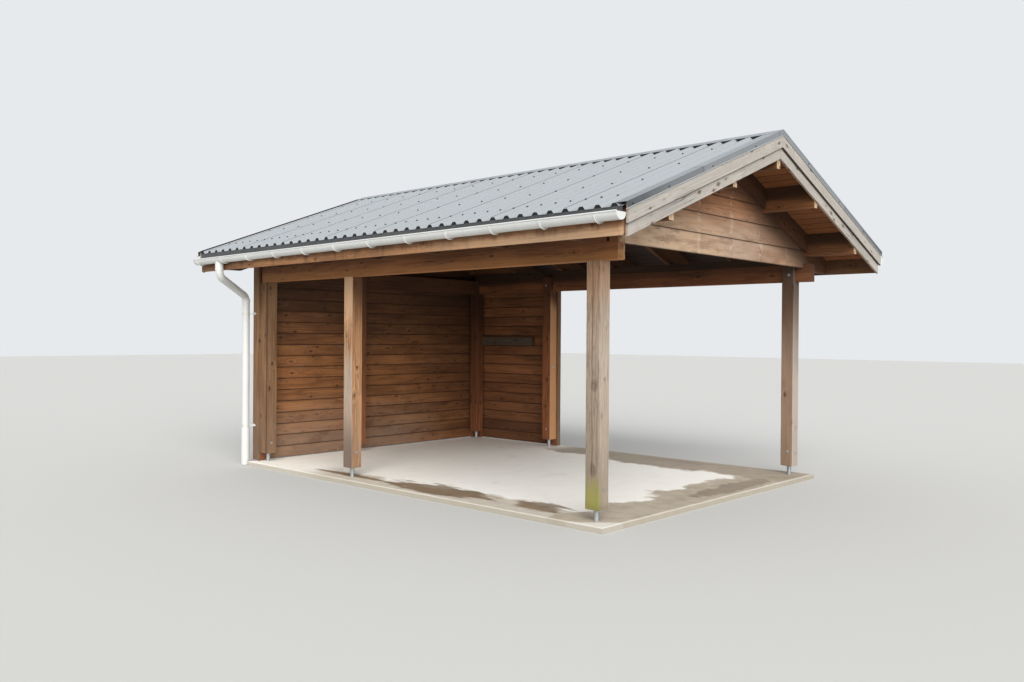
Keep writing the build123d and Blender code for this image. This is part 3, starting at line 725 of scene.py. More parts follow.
# %% Wear and painted shade on the boards inside
def end_wall(f, colour, patch):
    """Boards between the far posts: dusty near the floor, with painted shade under the roof and
    towards the rear corner.
    """
    scuffed = f.noise(f.point(f.y * 2.6, f.z * 7.0, 5.0), 1.0, 5.0, 0.66)
    colour = f.stains(colour, [
        (uneven(f.z, patch, 0.5).ramp(0.95, 0.1) * f.y.ramp(1.7, 0.2), 0.62, rgb(134, 116, 100)),
        (scuffed.ramp(0.55, 0.72), 0.40, rgb(150, 118, 92)),
        (scuffed.ramp(0.47, 0.36), 0.35, rgb(72, 44, 27)),
        # painted shade towards the rear corner
        (uneven(f.y, patch, 0.6).ramp(0.3, 2.0), 0.50, rgb(48, 29, 18)),
    ])
    return joint_lines(f, painted_shade_above(f, colour, patch), f.z - WALL_FOOT, WALL_BOARD)


def rear_wall(f, colour, patch):
    """The short rear wall stands in its own shade: painted shade darkens it towards the top, and it
    is darker at its foot.
    """
    colour = f.stains(colour, [
        # painted shade towards the top
        (uneven(f.z, patch, 0.8).ramp(1.4, 2.4), 0.12, rgb(48, 30, 20)),
        (f.z.ramp(0.9, 0.2), 0.60, rgb(66, 44, 30)),
        # painted shade right under the roof
        (f.z.ramp(2.15, 2.42), 0.50, rgb(30, 19, 13)),
    ])
    return joint_lines(f, colour, f.z - rear_low.z, REAR_BOARD)


def deck_shade_and_joints(f, colour, patch):
    """Painted shade over the deck inside the walls, painted warmer light on the overhang, and
    shadow in the joints, counted down the slope from the ridge.
    """
    inside = (INSIDE_END - abs(f.x)).ramp(0.0, 0.25)
    # painted shade on the deck inside the walls
    colour = f.mix(inside * 0.88, colour, rgb(30, 20, 14))
    # painted warmer light on the overhang outside the walls
    colour = f.mix((1 - inside) * 0.22, colour, rgb(176, 108, 58))
    return joint_lines(f, colour, abs(f.y) / math.cos(SLOPE), DECK_BOARD)


print("wear on the boards inside ready")

# %% [markdown]
# Beams and rafters under the roof have kept their oil and are red-brown. What stands out on them
# is their ends: a saw tears the fibres, and torn fibres stay pale where they are dry and go dark
# where they are wet. Painted shade lies along the top of each, right under the deck.

# %% Wear, painted shade and painted light on the beams and the fascia
def under_gutter(f, colour, patch):
    """Painted shade from the gutter on the upper half of the fascia, on its inner face and towards
    its far end, and stains that drips have left below the gutter.
    """
    drips = f.noise(f.point(f.x * 11.0, 0.0, f.z * 3.0), 1.0, 4.0, 0.6)
    outside = (f.facing()[1] * f.y).ramp(0.5, 1.0)
    near = uneven(f.x, patch, 2.0).ramp(0.2, 2.2)
    bleached = near * uneven(f.z, drips, 0.06).ramp(2.52, 2.43) * outside
    return f.stains(colour, [
        (drips.ramp(0.52, 0.68), 0.45, rgb(96, 70, 50)),
        # painted shade towards the far end
        (uneven(f.x, patch, 1.5).ramp(-1.6, -3.0), 0.60, rgb(84, 62, 44)),
        (bleached, 0.40, rgb(204, 178, 148)),
        # painted shade under the gutter
        (uneven(f.z, drips, 0.12).ramp(2.440, 2.505) * (1 - near * 0.4), 0.60, rgb(72, 46, 28)),
        # painted shade on the inner face
        (1 - outside, 0.60, rgb(50, 32, 20)),
    ])


def torn_fibres(f):
    """A coarse noise for sawn ends."""
    return f.noise(f.point(f.x, f.y * 16.0, f.z * 16.0), 1.0, 4.0, 0.7)


def beam_shade_and_ends(f, colour, patch):
    """Painted shade on the beam's top and far end, painted light on its lower part, and a sawn end
    that is pale and ragged along its edges and dark in the middle.
    """
    torn = torn_fibres(f)
    return f.stains(colour, [
        # painted shade at the far end, then painted light low and painted shade high on the beam
        (uneven(f.x, patch, 1.5).ramp(-0.9, -2.2), 0.35, rgb(70, 42, 24)),
        (uneven(f.z, patch, 0.10).ramp(2.40, 2.33), 0.40, rgb(184, 128, 74)),
        (uneven(f.z, patch, 0.08).ramp(2.39, 2.47), 0.45, rgb(64, 38, 21)),
        (f.ends() * torn.ramp(0.5, 0.58), 0.55, rgb(202, 178, 146)),
        (f.ends() * torn.ramp(0.46, 0.36), 0.45, rgb(84, 54, 34)),
    ])


def in_shade(f, colour, patch):
    """The rear beam: painted shade towards its top and the far end, and painted shade on its sawn
    ends, which are no paler.
    """
    top_shade = uneven(f.z, patch, 0.05).ramp(2.37, 2.45) * (0.5 + 0.5 * f.x.ramp(0.6, -1.2))
    colour = f.mix(top_shade * 0.80, colour, rgb(28, 19, 13))
    # painted shade on the sawn ends
    return f.mix(f.ends() * 0.55, colour, rgb(62, 42, 28))


def under_deck(f, colour, patch):
    """A lookout: painted shade right under the deck, so it is lighter at its lower edge, with a
    pale sawn end.
    """
    top_shade = uneven(under_deck_by(f), patch, 0.04).ramp(0.150, 0.085)
    # painted shade right under the deck
    colour = f.mix(top_shade * 0.70, colour, rgb(36, 23, 16))
    pale_end = f.ends() * torn_fibres(f).ramp(0.38, 0.50)
    return f.mix(pale_end * 0.60, colour, rgb(208, 184, 154))


print("wear on the beams and the fascia ready")

# %% [markdown]
# Now every other piece of timber gets its finish from the same recipe: young, old and dark wood,
# the colour it weathers to, and how much of that each of its sides shows. A darker set of
# browns is painted shade, for the timber that daylight hardly reaches.

# %% Finishes for the beams and rafters
RED_BROWN = rgb(132, 82, 50)
DEEP = rgb(84, 48, 26)
beam_x = timber("beam_along_ridge", "x", rgb(158, 104, 62), RED_BROWN, DEEP, rgb(176, 146, 114),
                (0.2, 0.0, 0.2, 0.4, 0.1), knots=0.5, cracks=0.6, rings=8, extra=beam_shade_and_ends)
# painted shade: from here to band_finish the darker browns stand for timber under the roof
beam_dark = timber("beam_in_shade", "x", rgb(132, 84, 52), rgb(108, 66, 40), rgb(66, 38, 22),
                   rgb(150, 126, 100), (0.0, 0, 0, 0.3, 0.1), knots=0.45, cracks=0.4, rings=8,
                   extra=in_shade)
plate_finish = timber("plates_in_shade", "x", rgb(66, 44, 29), rgb(52, 34, 22), rgb(34, 22, 14),
                      rgb(80, 66, 52), knots=0.4, cracks=0.4)
lookout_finish = timber("lookout_timber", "x", rgb(122, 80, 48), rgb(98, 62, 36), rgb(60, 36, 20),
                        rgb(150, 126, 100), (0.2, 0, 0, 0.3, 0.1), knots=0.45, cracks=0.4,
                        rings=8, extra=under_deck)
beam_y = timber("gable_framing", "y", rgb(104, 64, 38), rgb(84, 51, 30), rgb(50, 29, 17),
                rgb(120, 102, 84), (0.0, 0.1, 0.2, 0.5, 0.1), knots=0.5, cracks=0.5, rings=8)
beam_end = timber("beam_over_end_wall", "y", rgb(138, 86, 52), rgb(112, 68, 40), rgb(70, 40, 22),
                  rgb(160, 140, 118), (0.0, 0.1, 0.2, 0.5, 0.1), knots=0.5, cracks=0.5, rings=8,
                  extra=painted_shade_above)
rafter_finish = timber("rafter_timber", "slope", rgb(100, 66, 42), rgb(80, 51, 31), rgb(56, 33, 19),
                       rgb(130, 112, 94), (0, 0, 0, 0, 0), knots=0.45, cracks=0.4)
band_finish = timber("gable_band", "slope", rgb(88, 54, 32), rgb(70, 42, 24), rgb(44, 25, 14),
                     rgb(120, 100, 80), (0, 0, 0, 0, 0), knots=0.45, cracks=0.4)
print("finishes for the beams and rafters ready")

# %% [markdown]
# Boards get the browns of their place on the building: bleached at the verges, warm on the
# walls and the gable, with painted shade under the roof. Where they are laid side by side,
# `board` makes the finish read each board's own number, so that neighbours differ in tone and
# in grain.

# %% Finishes for the boards
barge_finish = timber("barge_boards_weathered", "slope", rgb(176, 158, 140), rgb(158, 140, 122),
                      rgb(112, 92, 74), rgb(176, 171, 164), (0.88, 0.5, 0.5, 0.88, 0.5), knots=0.9,
                      cracks=0.35, knot_size=0.013, extra=lapped)
# painted shade: the rail's browns are darkened
rail_finish = timber("rail_board", "x", rgb(88, 75, 61), rgb(75, 63, 51), rgb(50, 38, 30),
                     rgb(97, 87, 75), (0.2, 0.3, 0.4, 0.2, 0.2), knots=0.5, cracks=0.4)
fascia_finish = timber("fascia_timber", "x", rgb(172, 122, 80), rgb(146, 98, 61), DEEP,
                       rgb(192, 164, 132), (0.2, 0.1, 0.3, 0.4, 0.4), knots=0.55, cracks=0.5,
                       extra=under_gutter)
wall_finish = timber("wall_boards_end", "y", rgb(158, 107, 64), rgb(134, 87, 50), rgb(82, 49, 28),
                     rgb(180, 164, 146), (0.0, 0.0, 0.1, 0.55, 0.1), board=True, knots=0.6,
                     cracks=0.4, extra=end_wall)
wall_rear_finish = timber("wall_boards_rear", "x", rgb(152, 102, 65), rgb(126, 82, 52),
                          rgb(80, 49, 31), rgb(176, 158, 140), (0.0, 0.0, 0.1, 0.1, 0.5),
                          board=True, knots=0.5, cracks=0.4, extra=rear_wall)
gable_finish = timber("gable_boards_weathered", "y", rgb(178, 120, 76), rgb(150, 98, 60),
                      rgb(92, 56, 32), rgb(200, 180, 158), (0.1, 0.1, 0.1, 0.0, 0.1), board=True,
                      knots=0.62, cracks=0.5, knot_size=0.009, extra=gable_weather_and_shade)
deck_finish = timber("deck_boards", "x", rgb(132, 84, 52), rgb(106, 66, 40), rgb(66, 38, 22),
                     rgb(150, 130, 110), board=True, knots=0.6, cracks=0.3, extra=deck_shade_and_joints)
print("finishes for the boards ready")

# %% [markdown]
# Coated steel sheet is smooth paint over a rolled profile, so its colour hardly changes;
# what shows is a soft sheen, faint rain marks down the slope and dust in the troughs.

# %% A finish for coated sheet
DUST = rgb(150, 146, 136)
VERGE_LAP = 1.44


def coated(name, colour, rough, dust, coat=0.0, soiled_and_lit=0.0):
    """Painted sheet; its last argument paints light on the faces that do not look along the ridge,
    and darkens the lower lengths and the lower ends of what runs down the slopes.
    """
    f = Finish(name)
    marks = f.noise(f.point(f.x * 26.0, f.y * 1.1, f.z * 1.1), 1.0, 4.0, 0.6)
    cloudy = f.noise(f.point(f.x * 1.7, f.y * 1.7, f.z * 1.7), 1.0, 5.0, 0.6)
    speck = f.noise(f.point(f.x * 160.0, f.y * 160.0, f.z * 160.0), 1.0, 2.0, 0.5)
    dirty = (marks.ramp(0.42, 0.75) * 0.5 + cloudy.ramp(0.4, 0.7) * 0.5) * dust
    dusty = tuple(0.72 * v + 0.28 * w for v, w in zip(colour, DUST))
    tint = f.mix(dirty, colour, dusty)
    tint = f.mix(speck.ramp(0.62, 0.75) * 0.25 * dust, tint, scaled(colour, 0.6))
    if soiled_and_lit:
        side = f.ends()
        length = abs(f.y).ramp(VERGE_LAP - 0.005, VERGE_LAP + 0.005) * 0.35
        low_end = uneven(abs(f.y), cloudy, 0.8).ramp(1.7, 2.5) * 0.65
        # painted light: the faces that do not look along the ridge get a paler copy of the colour
        tint = f.mix(1 - side, tint, tuple(min(1.0, v * 1.45) for v in colour))
        # darker on the lower length and towards the eaves, most on the faces that look along the
        # ridge
        tint = f.mix((length + low_end) * (0.35 + side * 0.65) * soiled_and_lit, tint, rgb(52, 56, 58))
    return f.shade(tint, rough + cloudy * 0.12 + dirty * 0.15, speck * 0.3 + cloudy * 0.6, 0.0004,
                   **{"Coat Weight": coat, "Coat Roughness": 0.18})


sheet_finish = coated("coated_roof_sheet", rgb(147, 153, 158), 0.42, 0.9, coat=0.2)
flashing_finish = coated("coated_flashing", rgb(110, 115, 120), 0.42, 0.8, coat=0.15, soiled_and_lit=0.9)
# painted highlight: the hem's finish is a paler copy of the flashing's
hem_highlight_finish = coated("bright_hem", rgb(158, 163, 166), 0.4, 0.4)
charcoal_finish = coated("coated_eave_flashing", rgb(58, 61, 65), 0.45, 0.5)
white_finish = coated("white_coated_metal", rgb(206, 208, 206), 0.32, 0.8, coat=0.2)
foam_finish = coated("dark_foam", rgb(28, 29, 30), 0.9, 0.2)
print("coated finishes ready")

# %% [markdown]
# The feet, bolts and pipe clips are hot-dip galvanised. Zinc freezes in crystals, which a
# Voronoi pattern draws well, and dulls to grey where the weather reaches it.

# %% A finish for galvanised steel
def zinc(name, low=rgb(150, 154, 157), high=rgb(190, 193, 195), metal=0.75):
    """Galvanised steel: large pale crystals over dull metal."""
    f = Finish(name)
    place = f.point(f.x, f.y, f.z)
    lot = f.cells(place, 90.0)[1]
    dull = f.noise(place, 22.0, 4.0, 0.6)
    tint = f.mix(lot * 0.6, low, high)
    tint = f.mix(dull.ramp(0.5, 0.8) * 0.5, tint, rgb(108, 104, 98))
    return f.shade(tint, 0.38 + dull * 0.25, dull, 0.0004, Metallic=metal)


zinc_finish = zinc("galvanised_steel")
clip_finish = zinc("pale_galvanised_steel", rgb(196, 197, 194), rgb(214, 215, 212), 0.2)
print("galvanised finishes ready")

# %% [markdown]
# The slab is cast concrete, pale where it is dry. Rain blows in from the open sides, so damp
# zones lie along the edges, and water stands in a few dark puddles.
# A puddle is an ellipse whose distance is made ragged by noise; the table gives its middle and
# half its length and width. The arris stays dry and pale.

# %% Puddles and dry concrete
SLAB_LOW, SLAB_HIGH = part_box("floor_slab")
PUDDLES = ((0.30, -1.76, 0.85, 0.24), (-1.05, -1.80, 0.70, 0.07), (1.66, -1.70, 0.36, 0.20),
           (2.42, 0.55, 0.17, 0.90), (0.90, 1.84, 0.55, 0.14))


def puddles(f, frayed):
    """1 in the puddles, with frayed borders."""
    masks = []
    for mid_x, mid_y, half_x, half_y in PUDDLES:
        off_x, off_y = (f.x - mid_x) / half_x, (f.y - mid_y) / half_y
        spread = (off_x * off_x + off_y * off_y).root()
        masks.append(uneven(1.0 - spread, frayed, 1.9).ramp(0.0, 0.30))
    return reduce(Value.upper, masks)


def dry_concrete(f, place, ragged, blot, grain):
    """Nearly white, warmer towards the far end, with a few stains and brown spots."""
    clean = f.mix(blot.ramp(0.4, 0.75) * 0.20, rgb(255, 253, 247), rgb(232, 226, 214))
    return f.stains(clean, [
        (grain.ramp(0.45, 0.75), 0.10, rgb(190, 184, 172)),
        (uneven(f.x, ragged, 1.5).ramp(0.4, -1.4), 0.30, rgb(250, 238, 218)),
        (f.noise(place, 2.6, 4.0, 0.6).ramp(0.62, 0.74), 0.25, rgb(200, 182, 150)),
        (f.noise(place, 11.0, 3.0, 0.7).ramp(0.70, 0.76), 0.45, rgb(150, 128, 98)),
    ])


print(len(PUDDLES), "puddles on a slab of", round(SLAB_HIGH.x - SLAB_LOW.x, 2), "by",
      round(SLAB_HIGH.y - SLAB_LOW.y, 2), "m")

# %% [markdown]
# Damp comes in from three sides, each with its own reach, and a pale dry rim runs along the
# slab's edges. Standing water makes the concrete darker and shinier than damp does.

# %% Concrete finish
def concrete(name):
    """Cast concrete: dry inside, damp along its edges, wet in the puddles."""
    f = Finish(name)
    place = f.point(f.x, f.y, f.z)
    ragged = f.noise(place, 1.6, 6.0, 0.6)
    frayed = f.noise(f.point(f.x * 1.2, f.y * 4.5, f.z), 2.0, 5.0, 0.6)
    grain = f.noise(place, 140.0, 3.0, 0.6)
    blot = f.noise(place, 6.0, 5.0, 0.6)
    near = uneven(f.x - 2.0, ragged, 1.3).ramp(0.0, 0.14)
    rear = uneven(f.y - 1.50 + f.x.ramp(-0.9, 0.4) * 0.30, ragged, 1.0)
    rear = rear.ramp(0.0, 0.14) * f.x.ramp(-1.3, -0.7)
    front = uneven(-1.62 - f.y, ragged, 0.9).ramp(0.0, 0.12) * f.x.ramp(-1.9, -1.2)
    damp = near.upper(rear).upper(front * 0.75)
    wet = puddles(f, frayed)
    edge = (SLAB_HIGH.x - f.x).lower(f.y - SLAB_LOW.y).lower(SLAB_HIGH.y - f.y)
    corner = uneven(f.x - f.y - 4.30, ragged, 0.5).ramp(0.0, 0.08)
    rim = (uneven(edge, blot, 0.03).ramp(0.040, 0.022) * 0.5).upper(corner)
    colour = f.stains(dry_concrete(f, place, ragged, blot, grain), [
        (damp, 0.85, f.mix(blot.ramp(0.35, 0.7), rgb(174, 158, 134), rgb(152, 136, 111))),
        (rear, 0.40, rgb(128, 112, 92)),
        (wet, 0.85, f.mix(blot.ramp(0.3, 0.6), rgb(106, 85, 60), rgb(132, 108, 78))),
        (rim, 0.85, rgb(228, 225, 216)),
        (f.z.ramp(0.0495, 0.042), 0.70, rgb(138, 130, 114)),
    ])
    shine = 0.86 - damp * 0.15 - wet * 0.28 * (1 - rim) + grain * 0.08
    return f.shade(colour, shine, grain * 0.6 + blot * 0.5, 0.0012)


concrete_finish = concrete("cast_concrete")
print("concrete finish ready")

# %% [markdown]
# The solids come with plain materials. Each is given its finish by name, so a table says all:
# the piece on the left, and the finish on the right.

# %% Finishes on the solids
finish_of = {
    "floor_slab": concrete_finish,
    "front_near_post": post_weathered, "front_middle_post": post_front, "front_far_post": post_far,
    "rear_near_post": post_rear, "rear_middle_post": post_opening, "rear_far_post": post_corner,
    "end_wall_post": post_inner, "post_feet": zinc_finish, "pipe_clips": clip_finish,
    "front_beam": beam_x, "rear_beam": beam_dark, "rafter_plates": plate_finish,
    "ridge_beam": lookout_finish, "near_lookouts": lookout_finish, "far_lookouts": lookout_finish,
    "end_beam": beam_end, "near_gable_frame": beam_y,
    "front_rafters": rafter_finish, "rear_rafters": rafter_finish, "near_gable_band": band_finish,
    "upper_barge_boards": barge_finish, "lower_barge_boards": barge_finish,
    "fascia_boards": fascia_finish, "roof_battens": beam_dark,
    "wall_battens": post_inner, "wall_trims": trim_finish, "tool_rail": rail_finish,
    "front_roof_sheets": sheet_finish, "rear_roof_sheets": sheet_finish,
    "ridge_cap": flashing_finish, "verge_flashings": flashing_finish,
    "eave_flashings": charcoal_finish,
    "front_gutter": white_finish, "rear_gutter": white_finish, "gutter_brackets": white_finish,
    "front_downpipe": white_finish, "rear_downpipe": white_finish,
}
for node_name, material in finish_of.items():
    nodes[node_name].data.materials.clear()
    nodes[node_name].data.materials.append(material)
print(len(finish_of), "solids finished")

# %% [markdown]
# The walls, the gable and the roof deck are laid from boards, all to one rule: boards of one
# width, each on the last, whose chamfered edges make a V at every joint. The solids carry them
# as single plates, so each plate is exchanged for real boards here. Geometry Nodes suit this:
# one recipe stacks copies of a board, gives each a number for its finish, and trims the ends
# to the slopes. First comes a small class that builds such a recipe and runs it.

# %% A recipe and how it is run
class Recipe(Tree):
    """A Geometry Nodes tree with named inputs."""

    def __init__(self, name, sockets):
        super().__init__(bpy.data.node_groups.new(name, "GeometryNodeTree"))
        face = self.tree.interface
        face.new_socket("Geometry", in_out="OUTPUT", socket_type="NodeSocketGeometry")
        face.new_socket("Geometry", in_out="INPUT", socket_type="NodeSocketGeometry")
        self.key = {}
        for label, kind in sockets.items():
            made = face.new_socket(label, in_out="INPUT", socket_type="NodeSocket" + kind)
            self.key[label] = made.identifier
        self.start = self.tree.nodes.new("NodeGroupInput")

    def __getitem__(self, label):
        return Value(self, self.start.outputs[label])

    def close(self, geometry):
        """End the tree; every recipe realises its instances before this and sets the material last.
        """
        out = self.tree.nodes.new("NodeGroupOutput")
        self.tree.links.new(geometry.socket, out.inputs[0])

    def build(self, name, slot, replaced=(), mesh=None, **values):
        """Run the recipe once and return its result as a plain piece."""
        holder = bpy.data.objects.new(name, mesh or bpy.data.meshes.new(name))
        bpy.context.scene.collection.objects.link(holder)
        modifier = holder.modifiers.new("recipe", "NODES")
        modifier.node_group = self.tree
        for label, value in values.items():
            modifier[self.key[label.replace("_", " ")]] = value
        bpy.context.view_layer.update()
        graph = bpy.context.evaluated_depsgraph_get()
        result = bpy.data.meshes.new_from_object(holder.evaluated_get(graph))
        bpy.data.objects.remove(holder)
        piece = bpy.data.objects.new(name, result)
        bpy.context.scene.collection.objects.link(piece)
        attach(piece, "root")
        if replaced:
            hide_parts(*replaced)
        print(name, len(result.polygons), "faces")
        return piece


print("recipes can be built")

# %% [markdown]
# A board's section is a rectangle with its corners cut off. It is swept along the board's
# length, and a copy is set on every point of an upright line. Each copy carries a random
# number, and that is the number which the timber finish reads.

# %% The recipe for boards
boards = Recipe("stacked_boards", {
    "Finish": "Material", "Boards": "Int", "Pitch": "Float", "Thickness": "Float",
    "Chamfer": "Float", "Front End": "Float", "Rear End": "Float", "Foot": "Float",
    "Apex": "Float", "Rise": "Float", "Seed": "Int", "Place": "Vector", "Turn": "Vector",
})
section = boards.node("GeometryNodeCurvePrimitiveQuadrilateral", {"mode": "RECTANGLE"},
                      {"Width": boards["Thickness"], "Height": boards["Pitch"]})
section = boards.node("GeometryNodeFilletCurve", {"mode": "POLY"},
                      {"Curve": section, "Count": 1, "Radius": boards["Chamfer"]})
path = boards.node("GeometryNodeCurvePrimitiveLine", {}, {
    "Start": boards.node("ShaderNodeCombineXYZ", {}, {1: boards["Front End"]}),
    "End": boards.node("ShaderNodeCombineXYZ", {}, {1: boards["Rear End"]}),
})
board = boards.node("GeometryNodeCurveToMesh", {}, {"Curve": path, "Profile Curve": section,
                                                    "Fill Caps": True})
line = boards.node("GeometryNodeMeshLine", {}, {
    "Count": boards["Boards"],
    "Start Location": boards.node("ShaderNodeCombineXYZ", {}, {
        0: boards["Thickness"] / 2, 2: boards["Foot"] + boards["Pitch"] / 2}),
    "Offset": boards.node("ShaderNodeCombineXYZ", {}, {2: boards["Pitch"]}),
})
stack = boards.node("GeometryNodeInstanceOnPoints", {}, {"Points": line, "Instance": board})
lot = boards.node("FunctionNodeRandomValue", {"data_type": "FLOAT"}, {"Seed": boards["Seed"]})
stack = boards.node("GeometryNodeStoreNamedAttribute", {"data_type": "FLOAT", "domain": "INSTANCE"},
                    {"Geometry": stack, "Name": "board", "Value": lot})
stack = boards.node("GeometryNodeRealizeInstances", {}, {"Geometry": stack})
print("board section and stack ready")

# %% [markdown]
# A gable board ends where it meets the slopes. At any height the slopes are
# (apex - height) / rise apart from the middle, so each end point is simply pulled in to that width.
# A wall without slopes gets an apex far above it, and then the rule changes nothing.

# %% Trim the boards to the slopes
position = boards.node("GeometryNodeInputPosition")
apart = boards.tree.nodes.new("ShaderNodeSeparateXYZ")
boards.tree.links.new(position.socket, apart.inputs[0])
px, py, pz = (Value(boards, socket) for socket in apart.outputs)
top = pz.lower(boards["Apex"])
reach = (boards["Apex"] - top) / boards["Rise"]
trimmed = boards.node("ShaderNodeCombineXYZ", {}, {
    0: px, 1: py.lower(reach).upper(-reach), 2: top})
stack = boards.node("GeometryNodeSetPosition", {}, {"Geometry": stack, "Position": trimmed})
stack = boards.node("GeometryNodeTransform", {}, {
    "Geometry": stack, "Translation": boards["Place"],
    "Rotation": boards.node("FunctionNodeEulerToRotation", {}, {0: boards["Turn"]}),
})
stack = boards.node("GeometryNodeSetShadeSmooth", {}, {"Geometry": stack, "Shade Smooth": False})
stack = boards.node("GeometryNodeSetMaterial", {}, {
    "Geometry": stack, "Material": boards["Finish"]})
boards.close(stack)

RISE = math.tan(SLOPE)
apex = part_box("ridge_beam")[1].z
print("apex under the deck", round(apex, 4))

# %% [markdown]
# The end wall has boards of 145 mm, fixed outside the posts, so their inner faces show
# between the posts. The rear wall's boards run along the ridge, which is the same stack turned
# by a quarter. The gable at the near end has wider boards of 200 mm.

# %% Wall and gable boards
CHAMFER = 0.0045
GABLE_CHAMFER = 0.005
NO_SLOPES = {"Apex": 50.0, "Rise": 1.0}
UPRIGHT = (0.0, 0.0, 0.0)
QUARTER_TURN = (0.0, 0.0, math.pi / 2)
low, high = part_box("end_wall_cladding")
boards.build("end_wall_boards", "wall_boards", ["end_wall_cladding"], Finish=wall_finish,
             Boards=int((apex - low.z) / WALL_BOARD) + 1, Pitch=WALL_BOARD,
             Thickness=high.x - low.x, Chamfer=CHAMFER, Front_End=low.y, Rear_End=high.y,
             Foot=low.z, Apex=apex, Rise=RISE, Seed=4, Place=(low.x, 0.0, 0.0), Turn=UPRIGHT)
boards.build("rear_wall_boards", "wall_boards", ["rear_wall_cladding"], Finish=wall_rear_finish,
             Boards=REAR_BOARDS, Pitch=REAR_BOARD, Thickness=rear_high.y - rear_low.y,
             Chamfer=CHAMFER, Front_End=-rear_high.x, Rear_End=-rear_low.x, Foot=rear_low.z,
             Seed=9, Place=(0.0, rear_low.y, 0.0), Turn=QUARTER_TURN, **NO_SLOPES)
low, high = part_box("near_gable_cladding")
boards.build("near_gable_boards", "wall_boards", ["near_gable_cladding"], Finish=gable_finish,
             Boards=int((apex - low.z) / GABLE_BOARD) + 1, Pitch=GABLE_BOARD,
             Thickness=high.x - low.x, Chamfer=GABLE_CHAMFER, Front_End=low.y, Rear_End=high.y,
             Foot=low.z, Apex=apex, Rise=RISE, Seed=2, Place=(low.x, 0.0, 0.0), Turn=UPRIGHT)

# %% [markdown]
# The roof deck is seen from below: planed boards parallel to the ridge, with a V joint at
# each edge. Here the stack climbs the slope instead of a wall, so it is turned by a matrix
# whose columns are the deck's normal, the board's length and the way up the slope.

# %% Deck boards
DECK_THICK = 0.022
for side, name, seed in ((-1, "front_roof_deck", 21), (1, "rear_roof_deck", 33)):
    low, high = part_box(name)
    eave_y = max(abs(low.y), abs(high.y))
    up_slope = Vector((0, -side * math.cos(SLOPE), math.sin(SLOPE)))
    outward = Vector((0, side * math.sin(SLOPE), math.cos(SLOPE)))
    length = Vector((-side, 0, 0))
    turn = Matrix((outward, length, up_slope)).transposed().to_euler()
    eave_z = apex - eave_y * RISE
    boards.build(name + "_boards", "deck_boards", [name], Finish=deck_finish, Boards=DECK_ROWS,
                 Pitch=DECK_BOARD, Thickness=DECK_THICK, Chamfer=CHAMFER,
                 Front_End=low.x, Rear_End=high.x, Foot=0.0, Seed=seed,
                 Place=(0.0, side * eave_y, eave_z), Turn=tuple(turn), **NO_SLOPES)

# %% [markdown]
# Screws, bolts and nails are one shape each, repeated. The recipe puts a washer and a head
# on every point of a mesh and turns them to the direction that the point carries
# in an attribute, so a list of places and directions is all that each kind needs.

# %% The recipe for fixings
fixings = Recipe("fixings", {"Finish": "Material", "Washer": "Float", "Head": "Float",
                             "Head Height": "Float", "Sides": "Int"})
washer = fixings.node("GeometryNodeMeshCylinder", {}, {
    "Vertices": 12, "Radius": fixings["Washer"], "Depth": fixings["Head Height"] * 0.4})
crown = fixings.node("GeometryNodeMeshCone", {}, {
    "Vertices": fixings["Sides"], "Radius Top": fixings["Head"] * 0.72,
    "Radius Bottom": fixings["Head"], "Depth": fixings["Head Height"]}, output="Mesh")
facing = fixings.node("GeometryNodeInputNamedAttribute", {"data_type": "FLOAT_VECTOR"},
                      {"Name": "facing"}, output="Attribute")
both = fixings.tree.nodes.new("GeometryNodeJoinGeometry")
for shape in (washer, crown):
    fixings.tree.links.new(shape.socket, both.inputs[0])
placed = fixings.node("GeometryNodeInstanceOnPoints", {}, {
    "Points": fixings["Geometry"], "Instance": Value(fixings, both.outputs[0]),
    "Rotation": fixings.node("FunctionNodeAlignRotationToVector", {"axis": "Z"},
                             {"Vector": facing})})
placed = fixings.node("GeometryNodeRealizeInstances", {}, {"Geometry": placed})
fixings.close(fixings.node("GeometryNodeSetMaterial", {}, {
    "Geometry": placed, "Material": fixings["Finish"]}))


def places(name, items):
    """A mesh of loose points, each with the direction that its fixing faces."""
    mesh = bpy.data.meshes.new(name)
    mesh.from_pydata([tuple(spot) for spot, _ in items], [], [])
    mesh.attributes.new("facing", "FLOAT_VECTOR", "POINT")
    directions = [v for _, facing in items for v in facing]
    mesh.attributes["facing"].data.foreach_set("vector", directions)
    return mesh


print("fixings recipe ready")

# %% [markdown]
# Many small parts are simply bars: lap lines, hems, collars, knobs. This recipe turns every
# edge of a mesh into a closed bar.

# %% The recipe for bars
bars = Recipe("bars_along_edges", {"Finish": "Material", "Radius": "Float", "Sides": "Int"})
route = bars.node("GeometryNodeMeshToCurve", {}, {"Mesh": bars["Geometry"]})
section = bars.node("GeometryNodeCurvePrimitiveCircle", {"mode": "RADIUS"},
                    {"Resolution": bars["Sides"], "Radius": bars["Radius"]})
solid = bars.node("GeometryNodeCurveToMesh", {}, {"Curve": route, "Profile Curve": section,
                                                  "Fill Caps": True})
solid = bars.node("GeometryNodeSetShadeSmooth", {}, {"Geometry": solid, "Shade Smooth": False})
solid = bars.node("GeometryNodeRealizeInstances", {}, {"Geometry": solid})
bars.close(bars.node("GeometryNodeSetMaterial", {}, {
    "Geometry": solid, "Material": bars["Finish"]}))


def edges(name, pairs):
    """A mesh of loose edges, from pairs of end points."""
    mesh = bpy.data.meshes.new(name)
    points = [tuple(spot) for pair in pairs for spot in pair]
    mesh.from_pydata(points, [(2 * i, 2 * i + 1) for i in range(len(pairs))], [])
    return mesh


print("bar recipe ready")

# %% [markdown]
# The foam fillers that close the ends of the waves are made the same way, but with a wave's
# outline for a section.

